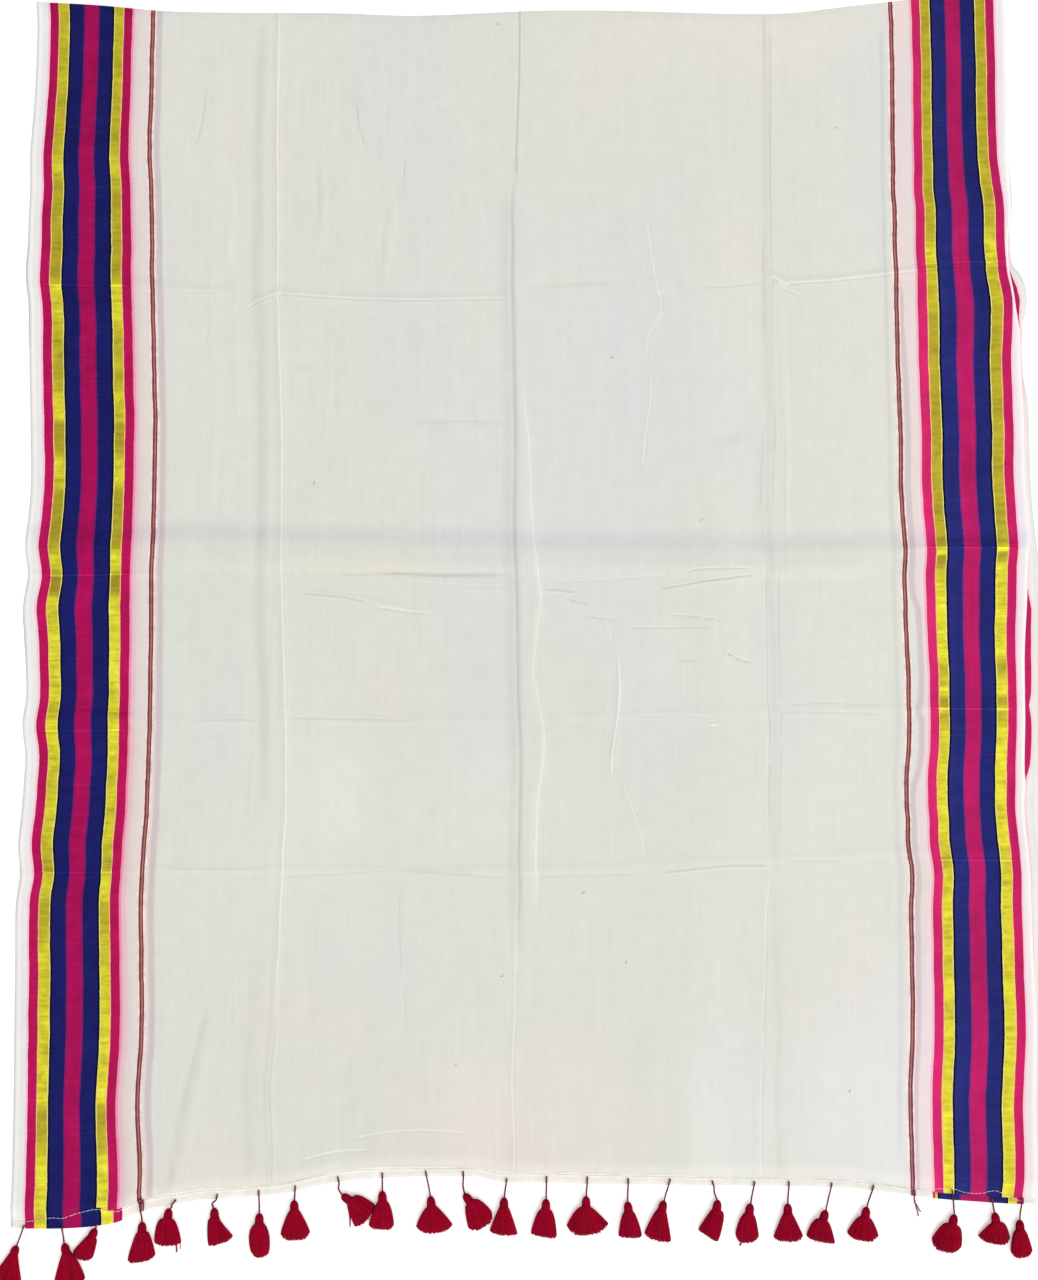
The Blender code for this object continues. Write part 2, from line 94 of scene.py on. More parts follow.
BORDER_LINES = rows_of(BorderLine, (
    (-45, -551, -448, 465, 563.5), (12, -552, -449, 465, 563.5), (44, -551, -448, 464, 565.3),
    (110, -551, -452.5, 463.6, 565.5), (177, -552, -449.2, 467.2, 570.3),
    (244, -553, -450.4, 468.2, 570), (311, -554, -452.7, 468.2, 569.5),
    (345, -550, -451.4, 470.6, 569.5), (378, -553, -450.4, 466.5, 567.3),
    (412, -550, -447.8, 466.1, 564.7), (446, -548, -447.4, 465.1, 565.3),
    (480, -547, -446.3, 467.7, 566.7), (515, -551, -446.2, 470, 568.5),
    (549, -547.5, -445.8, 470, 568.9), (618, -551, -446, 468.6, 569.6),
    (652, -553.5, -446.4, 468, 571.2), (687, -549, -447.1, 467.6, 572.5),
    (722, -553, -446.4, 469.2, 575), (757, -550, -445.5, 466.6, 572.9),
    (792, -548, -445.5, 465.7, 572.1), (862, -550, -445.2, 465.9, 572.8),
    (933, -553, -448.1, 464.3, 572), (1004, -555, -450.9, 464.3, 575.4),
    (1040, -559, -452.4, 464.4, 569.6), (1076, -558, -452.8, 463.4, 567.9),
    (1111, -558, -454.6, 464, 568), (1147, -557, -455.6, 462.7, 564.2),
    (1184, -558, -458.1, 463.2, 561), (1256, -554, -457.5, 463.9, 560.8),
    (1329, -553, -456.9, 464.1, 560.8), (1366, -556, -456.2, 463.1, 560),
))


@dataclass(frozen=True)
class Climb:
    """How far the cloth's right side climbs above its left side at one height."""
    up: float
    climb: float


CLIMBS = rows_of(Climb, (
    (-45, 0), (60, 6), (200, 14), (345, 20), (430, 17), (520, 14), (600, 22), (687, 30), (760, 30),
    (868, 30), (960, 32), (1021, 34), (1111, 28), (1184, 20), (1270, 10), (1357, 0),
))


@dataclass(frozen=True)
class EdgeRise:
    """How far an end of the cloth lies above its own straight line, at one place across."""
    across: float
    rise: float


HEM_LINE = rows_of(EdgeRise, (
    (-575, -47), (-560, -48), (-520, -48), (-490, -46), (-460, -41), (-448, -35), (-435, -30),
    (-412, -24), (-390, -21), (-367, -17), (-322, -14), (-277, -10), (-255, -6), (-232, -1),
    (-210, 3), (-187, 5.5), (-142, 8), (-97, 9), (-52, 8), (-36, 4), (-20, 2), (15, 2), (83, 0),
    (150, -1), (195, -2), (263, -3), (308, -4), (353, -5), (398, -9.5), (420, -12.5), (465, -18),
    (510, -21.5), (540, -23.5), (575, -25),
))

FOLD_LINE = rows_of(EdgeRise, (
    (-575, 14), (-504, 10), (-409, 2), (-220, 0), (-125, -3), (20, 3), (110, 3), (300, -1),
    (395, 9), (510, 22), (575, 27),
))


@dataclass(frozen=True)
class Wrinkle:
    """A soft ridge, or a trough where its height is below nought, along a line on the cloth.

    The line runs up or to the right. near is its reach on the left of that way, far on the right.
    Its last two numbers are painted: the shade along it, in screen levels darker (lighter below
    nought), and how much bluer that painted shade is.
    """
    height: float
    near: float
    far: float
    line: tuple[Place, ...]
    fade: float = 25
    painted_shade: float = 0.0
    cold: float = 0.0


LEFT_RIDGE = ((-289, -20), (-289, 120), (-286, 200), (-279, 272), (-277, 339), (-276, 429),
              (-280, 520), (-283, 600), (-286, 704), (-288, 868), (-289, 1022), (-286, 1166),
              (-287, 1380))
CENTRE_TROUGH = ((-9, 240), (-8, 350), (-8, 452), (-13, 543), (-13, 658), (-15, 704), (-16, 751),
                 (-15, 844), (-14, 962), (-14, 1034), (-12, 1129), (-7, 1190))
CENTRE_EDGE = ((8, 290), (11, 338), (12, 417), (16, 463), (18, 497), (13, 531), (4, 577),
               (8, 610), (15, 657), (9, 704), (4, 774), (1, 844), (-3, 892), (-4, 940))
RIGHT_TROUGH = ((279, 320), (282, 361), (282, 442), (278, 534), (279, 599), (278, 687),
                (276, 733), (279, 827), (281, 1002), (285, 1112), (285, 1380))
UPPER_FOLD = ((-332, 996), (-315, 1009), (-289, 1019), (-256, 1016), (-192, 1012), (-122, 1011),
              (-17, 1013))
# the broad trough whose painted shade is bluish
BLUE_HOLLOW = ((-575, 738), (-300, 736), (0, 728), (100, 721), (280, 705), (575, 694))

WRINKLES = rows_of(Wrinkle, (
    (0.9, 6, 5, LEFT_RIDGE, 1),
    (-0.6, 11, 11, ((-301, 395), (-305, 475), (-306, 543), (-311, 612), (-312, 704), (-312, 774),
        (-313, 868), (-312, 962), (-316, 1046), (-311, 1129), (-309, 1226), (-309, 1360)), 70, 9),
    (-0.5, 14, 12, ((-312, -10), (-314, 60), (-317, 142), (-312, 206), (-309, 300)), 70, 4),
    (0.6, 7, 6, ((-353, 1040), (-342, 1081), (-338, 1166)), 30, -4),
    (0.5, 7, 6, ((-338, 868), (-336, 915), (-339, 992)), 30, -3),
    (0.4, 7, 6, ((-354, 751), (-350, 774), (-347, 844)), 30, -2),
    (-0.8, 5.5, 4.5, CENTRE_TROUGH, 90, 12),
    (0, 11, 4, tuple((across - 6, up) for across, up in CENTRE_TROUGH), 90, 8),
    (0.8, 15, 4, CENTRE_EDGE, 60, -5),
    (0.5, 5, 5, ((-14, -20), (-13, 82), (-15, 160), (-13, 249), (-11, 328)), 30),
    (-0.6, 8, 8, RIGHT_TROUGH, 50, 4),
    (-0.3, 5, 5, ((268, 690), (266, 780), (270, 850)), 40, 5),
    (0.5, 6, 7, ((299, 700), (302, 780), (303, 850), (301, 960), (301, 1000)), 40, -3),
    (-0.4, 5, 8, ((282, -20), (284, 110), (280, 240), (277, 327)), 40, 4),
    (0.6, 3.5, 3.5, ((-575, 689), (-500, 688), (-430, 688)), 1),
    (0.6, 3.5, 3.5, ((430, 690), (500, 687), (575, 681)), 1),
    (0.5, 3, 3, ((430, 520), (575, 516)), 1),
    (0.5, 7, 6, ((-575, 1028), (-455, 1027), (-332, 1018)), 20),
    (-0.4, 4, 4, ((-565, 532), (-502, 531), (-455, 526)), 8, 26),
    (-0.3, 5, 5, ((460, 532), (510, 531), (560, 527)), 8, 12),
    (-0.3, 4, 4, ((460, 697), (510, 694), (560, 689)), 8, 22),
    (-0.3, 4, 4, ((462, 1013), (536, 1009), (565, 1006)), 6, 20),
    (-0.3, 5, 5, ((-560, 856), (-510, 858), (-455, 862)), 10, 12),
    (-0.3, 5, 5, ((462, 150), (510, 147), (560, 150)), 10, 14),
    (0, 4.5, 4.5, ((423, 25), (422, 420), (423, 800), (424, 1340)), 40, 12, 3),
    (0.7, 6, 5, UPPER_FOLD, 15),
    (-0.3, 5, 5, ((0, 1026), (60, 1025), (112, 1024)), 15, 4, -5),
    (0.8, 6, 5, ((282, 1024), (304, 1009), (357, 1008), (427, 1011), (575, 1016)), 12),
    (-0.3, 4, 4, ((-140, 867), (-80, 866), (-16, 866)), 25, 7),
    (-0.3, 4, 4, ((208, 831), (272, 832)), 12, 6),
    (-0.7, 21, 15, BLUE_HOLLOW, 1, 10, 7),
    (0.8, 16, 16, ((-430, 706), (0, 698), (280, 676), (430, 670)), 60, -1),
    (-0.5, 3.6, 3.6, ((-190, 690), (-147, 689), (-101, 687), (-60, 688), (-18, 687)), 45, 16),
    (0.3, 7, 6, ((-575, 520), (-421, 519), (-220, 519), (-32, 521)), 1),
    (0.3, 7, 6, ((-32, 521), (200, 522), (575, 520)), 1),
    (0.4, 8, 6, ((-575, 345), (-414, 350), (-143, 350), (-7, 349)), 1),
    (-0.3, 6, 6, ((-150, 350), (-100, 351), (-55, 348)), 20, 5),
    (0.4, 8, 6, ((-7, 349), (200, 350), (400, 352), (575, 345)), 1),
    (-0.5, 7, 6, ((-410, -6), (-378, 125), (-361, 206)), 30, 10),
    (0.4, 7, 6, ((-398, 0), (-366, 120), (-350, 200)), 60, -2),
    (-0.5, 4, 4, ((-243, 1075), (-238, 1129), (-240, 1178)), 25, 8),
    (0.4, 4, 4, ((-235, 1078), (-230, 1129), (-232, 1175)), 25, -3),
    (-0.5, 4, 4, ((-170, 1020), (-164, 1081), (-155, 1135)), 25, 7),
    (0.4, 4, 4, ((-161, 1024), (-155, 1081), (-146, 1131)), 25, -3),
    (0.4, 6, 5, ((-372, 728), (-363, 951), (-365, 1178)), 60),
    (0.5, 5, 5, ((-236, 850), (-226, 974), (-222, 1000)), 30),
    (-0.5, 5, 5, ((-228, 850), (-218, 974), (-214, 1000)), 30, 3),
    (0.4, 8, 6, ((-139, 1022), (-152, 1129), (-169, 1238)), 40),
    (0.5, 5, 5, ((88, 600), (102, 560), (100, 517), (97, 470), (112, 440), (134, 367)), 40),
    (0.5, 5, 5, ((133, 807), (146, 890), (143, 958), (159, 990), (143, 1103)), 50),
    (0.5, 5, 4, ((-262, 668), (-182, 657), (-113, 643)), 25),
    (0.6, 4, 4, ((156, 664), (199, 667), (264, 671)), 18),
))


@dataclass(frozen=True)
class SharpLine:
    """A hair-thin line in the cloth: a lit ridge with a dark side, both painted in the colour as
    light and shade in screen levels, and raised a little as a bump.

    The line runs up or to the right. The dark side is on the right of that way, or on the left
    where dark_left is set.
    """
    light: float
    dark: float
    line: tuple[Place, ...]
    fade: float = 14
    dark_left: bool = False
    reach: float = 6


SHARP_LINES = rows_of(SharpLine, (
    (17, 3, LEFT_RIDGE[2:], 60),
    (0, 11, LEFT_RIDGE[:3], 40),
    (3, 22, ((-8, 1150), (-8, 1178), (-7, 1226), (-5, 1297), (-5, 1380)), 20),
    (12, 7, ((-14, -20), (-14, 5), (-13, 82), (-15, 160), (-13, 249), (-11, 334)), 30, False, 8),
    (7, 4, CENTRE_EDGE, 60),
    (0, 9, tuple((across - 2.2, up) for across, up in CENTRE_TROUGH), 90),
    (0, 9, ((271, 687), (269, 733), (272, 827), (275, 932), (277, 1002), (282, 1112),
        (283, 1295), (283, 1380)), 40, False, 5),
    (3, 11, ((283, 733), (286, 826), (287, 931), (288, 1001), (289, 1112), (290, 1295),
        (290, 1380)), 40, False, 5),
    (4, 6, ((296, 709), (298, 779), (299, 849)), 30, False, 5),
    (4, 13, ((276, 350), (276, 442), (272, 534), (273, 599), (274, 700)), 40, False, 5),
    (2, 8, ((288, 350), (289, 441), (285, 534), (286, 598), (288, 690)), 40, False, 5),
    (11, 5, ((265, -10), (264, 36), (267, 110), (266, 175), (269, 240), (272, 306), (276, 344)),
        40, False, 5),
    (9, 11, UPPER_FOLD, 10),
    (2, 4, ((-455, 1026), (-400, 1021), (-340, 1020)), 20),
    (38, 12, ((-558, 1029), (-544, 1028), (-462, 1027)), 5),
    (42, 14, ((-558, 687), (-544, 686), (-477, 688), (-462, 688)), 5),
    (40, 10, ((-558, 508), (-540, 508), (-474, 509), (-462, 509)), 5),
    (56, 12, ((-546, 489), (-534, 487)), 2),
    (36, 14, ((-481, 564), (-469, 559)), 2),
    (36, 10, ((-558, 350), (-541, 347), (-470, 348), (-462, 348)), 5),
    (36, 16, ((462, 1020), (536, 1016), (557, 1014)), 5),
    (46, 16, ((462, 689), (480, 688), (540, 684), (557, 682)), 5, True),
    (64, 12, ((462, 520), (477, 519), (556, 516)), 6, True),
    (38, 12, ((462, 342), (537, 338), (557, 337)), 5, True),
    (3, 0, ((130, 1009), (170, 1007), (200, 1008)), 20),
    (2, 9, ((203, 1011), (240, 1010), (277, 1012)), 14),
    (12, 11, ((285, 1021), (304, 1008), (357, 1007), (427, 1010), (560, 1016)), 12),
    (9, 7, ((298, 1005), (318, 996), (338, 987)), 8),
    (0, 7, ((-230, 689), (-190, 690), (-147, 691), (-101, 689), (-18, 689)), 30),
    (6, 2, ((-130, 680), (-66, 676), (-18, 675)), 14),
    (4, 4, ((19, 679), (83, 677), (124, 678), (176, 677)), 20),
    (11, 11, ((176, 681), (198, 683), (230, 682), (268, 679)), 14),
    (4, 14, ((-262, 668), (-216, 664), (-179, 656)), 14),
    (12, 8, ((-180, 652), (-147, 647), (-130, 645), (-108, 643)), 14),
    (10, 13, ((15, 667), (35, 665), (56, 661)), 8, True),
    (3, 12, ((41, 660), (56, 655), (74, 650)), 8),
    (6, 11, ((61, 640), (80, 635), (102, 632)), 8),
    (10, 18, ((150, 664), (175, 666), (199, 669), (230, 671), (266, 673)), 12),
    (7, 9, ((158, 634), (190, 631), (230, 624)), 12),
    (4, 9, ((110, 622), (152, 620), (213, 618)), 14),
    (8, 20, ((224, 592), (237, 584), (246, 579), (258, 577)), 6),
    (0, 8, ((165, 583), (202, 581)), 10),
    (9, 4, ((96, 606), (90, 630)), 6),
    (23, 7, ((97, 452), (95, 475), (97, 495), (101, 520), (104, 551), (103, 588)), 12, True),
    (9, 5, ((136, 362), (130, 390), (118, 425), (109, 450)), 14),
    (7, 3, ((120, 604), (134, 588)), 6),
    (13, 4, ((140, 918), (143, 958), (159, 981), (159, 998), (150, 1053), (143, 1108)), 20),
    (14, 4, ((133, 800), (138, 847), (145, 882), (147, 914)), 14),
    (4, 8, ((-284, 525), (-200, 523), (-124, 522)), 20),
    (4, 8, ((-390, 521), (-340, 523), (-307, 522)), 14),
    (2, 5, ((-380, 502), (-341, 506)), 12),
    (4, 9, ((280, 523), (330, 521), (408, 517)), 20),
    (2, 6, ((286, 530), (340, 531), (410, 527)), 20),
    (6, 2, ((120, 522), (173, 522), (219, 518)), 14),
    (30, 4, ((204, 508), (219, 508)), 2),
    (1, 6, ((-414, 354), (-289, 354)), 20),
    (2, 7, ((-289, 344), (-210, 348), (-143, 352), (-18, 343)), 20),
    (2, 6, ((4, 344), (70, 343), (128, 342)), 20),
    (9, 13, ((150, 338), (196, 341), (230, 343), (287, 340)), 18, True),
    (2, 6, ((290, 349), (366, 347)), 18),
    (15, 3, ((-256, 34), (-219, 36), (-176, 34)), 10, False, 9),
    (15, 3, ((-195, 48), (-157, 53), (-123, 54), (-68, 51)), 10, False, 9),
    (2, 8, ((-139, 178), (-145, 249), (-146, 342)), 25),
    (5, 12, ((-384, 1194), (-376, 1226), (-374, 1266)), 10, False, 8),
    (3, 12, ((-184, 1190), (-192, 1214), (-198, 1254)), 10, False, 8),
    (9, 2, ((-234, 1220), (-237, 1276)), 14, False, 8),
    (5, 15, ((-143, 1139), (-138, 1180)), 8),
    (6, 4, ((-349, 990), (-335, 1001)), 4),
))


@dataclass(frozen=True)
class Tint:
    """A broad soft patch, with its reach across and up, in screen levels.

    light is how much lighter it is, pink how much redder and cold how much bluer.
    """
    across: float
    up: float
    wide: float
    high: float
    light: float
    pink: float = 0.0
    cold: float = 0.0


TINTS = rows_of(Tint, (
    (540, 640, 360, 1500, 7, 0, 1), (420, 60, 260, 260, 6, 0, 2), (-250, 450, 120, 170, 3),
    (330, 420, 90, 340, 3), (232, 320, 60, 200, 3), (-60, 80, 70, 130, 3, 1, 0),
    (180, 1300, 260, 140, 2, 1, 1), (60, 850, 300, 560, 1, -1, 5), (245, 900, 70, 420, 4, 0, -1),
    (330, 1340, 260, 110, 2, 5, -1), (250, 520, 60, 260, 4, 0, -1), (-215, 430, 60, 90, 5, 0, -1),
    (-40, 430, 160, 120, 2, 0, 1), (60, 300, 400, 300, 2, 0, 1), (40, 60, 190, 170, 2, 4, 0),
    (215, 60, 75, 260, 7, 1, 2), (390, 130, 120, 260, 1, 0, 6), (-200, 700, 220, 22, 1, 0, -4),
    (-240, 1120, 60, 120, -1), (-385, 640, 70, 120, 0, 0, -4), (150, 560, 60, 130, 1),
    (-60, 470, 60, 40, 1, 1, 2), (-370, 30, 90, 80, 0, 4, 0), (300, 60, 240, 160, 2, 0, 2),
    (-270, 330, 150, 130, 2, 0, -1), (190, 1000, 120, 200, 0, 2, 0), (160, 600, 140, 120, 1, 0, 2),
))


@dataclass(frozen=True)
class Lustre:
    """How bright the painted sheen on the gold stripes of one border is, at one height."""
    up: float
    level: float


LEFT_LUSTRE = rows_of(Lustre, (
    (-40, 0.85), (-6, 0.85), (2, 0.25), (12, 0.3), (22, 0.9), (62, 0.95), (72, 0.5), (94, 0.2),
    (111, 0.25), (120, 0.9), (160, 0.95), (200, 0.7), (262, 0.75), (284, 0.35), (312, 0.35),
    (324, 0.85), (338, 0.8), (352, 0.25), (366, 0.4), (400, 0.75), (470, 0.7), (500, 0.9),
    (528, 0.75), (545, 0.9), (660, 0.85), (669, 0.1), (684, 0.05), (697, 0.9), (712, 0.85),
    (718, 0.2), (785, 0.15), (795, 0.95), (822, 0.95), (832, 0.2), (864, 0.2), (872, 0.9),
    (896, 0.8), (906, 0.45), (975, 0.45), (990, 0.9), (1026, 0.95), (1033, 0.25), (1150, 0.3),
    (1162, 0.75), (1178, 0.7), (1190, 0.4), (1360, 0.5),
))

RIGHT_LUSTRE = rows_of(Lustre, (
    (-40, 0.62), (60, 0.6), (120, 0.5), (200, 0.6), (300, 0.65), (330, 0.6), (344, 0.3),
    (356, 0.7), (480, 0.75), (495, 0.75), (502, 0.25), (514, 0.25), (518, 0.75), (522, 0.25),
    (529, 0.3), (534, 0.9), (549, 0.9), (555, 0.25), (566, 0.3), (573, 0.85), (664, 0.85),
    (671, 0.05), (678, 0.1), (682, 1), (686, 0.9), (692, 0.2), (860, 0.25), (965, 0.3), (980, 0.5),
    (1010, 0.5), (1017, 0.4), (1022, 0.9), (1046, 0.85), (1056, 0.3), (1200, 0.35), (1370, 0.25),
))


@dataclass(frozen=True)
class UnderShift:
    """How far the layer under the pallu lies to the right of it, at one height of each side."""
    up: float
    left: float
    right: float


UNDER_SHIFTS = rows_of(UnderShift, (
    (-45, 8.5, 8), (60, 8.5, 8), (250, 8.2, 10), (380, 8, 10), (426, 7.9, 10.5), (448, 7.8, 17),
    (505, 7.6, 17), (517, 7.6, 14), (530, 7.5, 17), (620, 7.2, 18), (642, 7.2, 12),
    (880, 6.2, 11.5), (930, 6, 9.5), (953, 6, 7.5), (976, 6, 8.5), (998, 5.8, 5), (1012, 5.8, 2.5),
    (1200, 5, 3), (1357, 4.5, 2),
))


@dataclass(frozen=True)
class RightSelvedge:
    """How wide the pallu's white right selvedge lies open at one height."""
    up: float
    width: float


RIGHT_SELVEDGE = rows_of(RightSelvedge, (
    (-45, 15), (110, 14.5), (177, 12.6), (250, 11.4), (311, 11), (395, 10.5), (428, 12),
    (445, 10.5), (560, 10.2), (615, 12.6), (690, 14), (722, 15.5), (757, 13.8), (860, 12.4),
    (930, 10), (966, 3.4), (1004, 3), (1040, 3.8), (1075, 8), (1200, 15), (1357, 16),
))


@dataclass(frozen=True)
class Peek:
    """How far each layer of the pile reaches beyond the pallu's edges, at one height."""
    up: float
    left_second: float
    left_third: float
    left_fourth: float
    right_second: float
    right_third: float
    right_fourth: float


PEEKS = rows_of(Peek, (
    (-45, -3, -6, -1, 2, 5, 3), (250, -2, -8, 1, 4, 8, 5), (420, -3, -9, 1, 5, 14, 10),
    (470, -4, -10, 0, 6, 21, 17), (606, -4, -10, 2, 7, 23, 19), (636, -4, -10, 2, 7, 16, 13),
    (668, -4, -9, 1, 6, 11, 8), (690, -4, -9, 1, 4.5, 6, 4), (740, -4, -9, 1, 3.5, 5, 3),
    (790, -3, -8, 0, 2.5, 4, 2), (850, -3, -8, 0, 1.5, 3, 1), (884, -3, -7, 1, -2, -1, -3),
    (944, -3, -7, 1, -3, -4, -5), (964, -3, -6, 2, 1.6, -1, -2), (996, -3, -6, 2, 0.4, -1, -2),
    (1012, -3, -6, 2, -8, -9, -10), (1060, -2, -5, 2, -8, -9, -10), (1110, -2, -5, 1, -3, -3, -4),
    (1357, -2, -4, -1, -3, -4, -2),
))


@dataclass(frozen=True)
class Bay:
    """A run of a sheet's lines: where it stops and how far apart its lines are."""
    stop: float
    pitch: float


PALLU_COLUMNS = rows_of(Bay, (
    (-559, 4), (-460, 8.3), (-432, 7), (-384, 8), (-306, 4.4), (-270, 3), (-246, 6), (-132, 4.9),
    (-24, 9), (24, 2.7), (84, 7.5), (162, 3.8), (264, 8.5), (304, 3), (414, 11), (432, 4.5),
    (460, 7), (559, 8.3), (575, 4),
))

PALLU_ROWS = rows_of(Bay, (
    (28, 3.4), (60, 4), (120, 8.6), (334, 11), (362, 3), (500, 10), (534, 3.1), (570, 6),
    (694, 2.6), (760, 7), (860, 10), (880, 3.3), (984, 11), (1030, 2.9), (1354, 11),
))


@dataclass(frozen=True)
class Slant:
    """A leaning lengthwise line of the cloth: its place at the hem and its shift at the fold."""
    across: float
    shift: float


SLANTS = rows_of(Slant, (
    (-575, 0), (-434, 0), (-290, 4), (-10, 1), (17, 3), (271, 19), (434, 0), (575, 0),
))


class SmoothColumn:
    """A column of a table in millimetres, read in metres along a smooth curve through its rows."""

    def __init__(self, places: Sequence[float], values: Sequence[float], unit: float = MM) -> None:
        """Keeps the rows.

        Args:
            places: Where each row is, in millimetres, rising.
            values: What the column holds there.
            unit: What a value is multiplied by.
        """
        self.places = [place * MM for place in places]
        self.values = [value * unit for value in values]
        last = len(places) - 1
        self.slopes = [
            (self.values[min(row + 1, last)] - self.values[max(row - 1, 0)])
            / (self.places[min(row + 1, last)] - self.places[max(row - 1, 0)])
            for row in range(last + 1)
        ]

    def row_below(self, place: float) -> tuple[int, float]:
        """Returns the number of the row below a place, and the share of the way to the next."""
        place = min(max(place, self.places[0]), self.places[-1])
        low = min(bisect.bisect_right(self.places, place), len(self.places) - 1) - 1
        return low, (place - self.places[low]) / (self.places[low + 1] - self.places[low])

    def at(self, place: float) -> float:
        """Reads the curve.

        Args:
            place: Where to read it, in metres.

        Returns:
            The value there, held level beyond the ends.
        """
        low, t = self.row_below(place)
        span = self.places[low + 1] - self.places[low]
        return (self.values[low] * (1 + 2 * t) * (1 - t) ** 2
                + self.slopes[low] * span * t * (1 - t) ** 2
                + self.values[low + 1] * t * t * (3 - 2 * t)
                + self.slopes[low + 1] * span * t * t * (t - 1))

    def straight(self, place: float) -> float:
        """Returns the value at a place in metres, the rows joined by straight lines."""
        low, t = self.row_below(place)
        return mix(self.values[low], self.values[low + 1], t)


def mix(low: float, high: float, t: float) -> float:
    """Returns the value a share t of the way from low to high."""
    return low + (high - low) * t


def ease(t: float) -> float:
    """Returns a value that rises smoothly from 0 to 1 as t does."""
    t = min(max(t, 0.0), 1.0)
    return t * t * (3 - 2 * t)


def hill(t: float) -> float:
    """Returns a smooth hill, 1 at t = 0 and 0 from t = 1 outwards."""
    t = min(abs(t), 1.0)
    return 0.5 + 0.5 * math.cos(math.pi * t)


def column_of(rows: Iterable[object], key: str, value: str, unit: float = MM) -> SmoothColumn:
    """Makes a smooth column of a table.

    Args:
        rows: The table's rows.
        key: The field that says where a row is.
        value: The field to read.
        unit: What a value is multiplied by.

    Returns:
        The column.
    """
    places, values = zip(*((getattr(row, key), getattr(row, value)) for row in rows))
    return SmoothColumn(places, values, unit)


def lines_between(start: float, bays: Sequence[Bay]) -> list[float]:
    """Spaces a sheet's lines evenly in each of its bays.

    Args:
        start: Where the first bay starts, in millimetres.
        bays: The bays in order.

    Returns:
        The lines' places in metres.
    """
    lines = [start * MM]
    for bay in bays:
        begin = lines[-1]
        count = max(1, round((bay.stop * MM - begin) / (bay.pitch * MM)))
        lines.extend(mix(begin, bay.stop * MM, step / count) for step in range(1, count + 1))
    return lines


class DrawnLine:
    """A line drawn on the cloth through places in millimetres."""

    def __init__(self, line: Sequence[Place], reach: float) -> None:
        """Measures the line.

        Args:
            line: The places it runs through.
            reach: How far from it a point can be and still be touched.
        """
        self.runs = [(a, b, math.dist(a, b)) for a, b in zip(line, line[1:])]
        self.length = sum(run[2] for run in self.runs)
        self.across = (min(a[0] for a in line) - reach, max(a[0] for a in line) + reach)
        self.up = (min(a[1] for a in line) - reach, max(a[1] for a in line) + reach)

    def reaches(self, x: float, y: float) -> bool:
        """Returns whether a point lies in the part of the cloth that the line can touch."""
        return self.across[0] < x < self.across[1] and self.up[0] < y < self.up[1]

    def offset(self, x: float, y: float) -> Place:
        """Measures a point against the line.

        Args:
            x: The point's across.
            y: The point's up.

        Returns:
            Its distance from the line, above nought on its left, and how far along it is.
        """
        best = (1e9, 0.0)
        gone = 0.0
        for a, b, run in self.runs:
            way = ((b[0] - a[0]) / run, (b[1] - a[1]) / run)
            along = (x - a[0]) * way[0] + (y - a[1]) * way[1]
            held = min(max(along, 0), run)
            off = math.hypot(x - a[0] - way[0] * held, y - a[1] - way[1] * held)
            if off < abs(best[0]):
                side = way[0] * (y - a[1]) - way[1] * (x - a[0])
                best = (math.copysign(off, side), gone + held)
            gone += run
        return best

    def ends(self, gone: float, fade: float) -> float:
        """Returns how strong the line is where it has run so far, fading at both its ends."""
        return ease(gone / fade) * ease((self.length - gone) / fade)


@dataclass(frozen=True)
class Ripple:
    """A smooth random pattern: how many waves a metre it has each way, and which one it is."""
    wide: float
    high: float
    which: float

    def at(self, across: float, up: float) -> float:
        """Returns the pattern at a point of the cloth, -1 to 1."""
        return noise.noise(Vector((across * self.wide, up * self.high, self.which)))


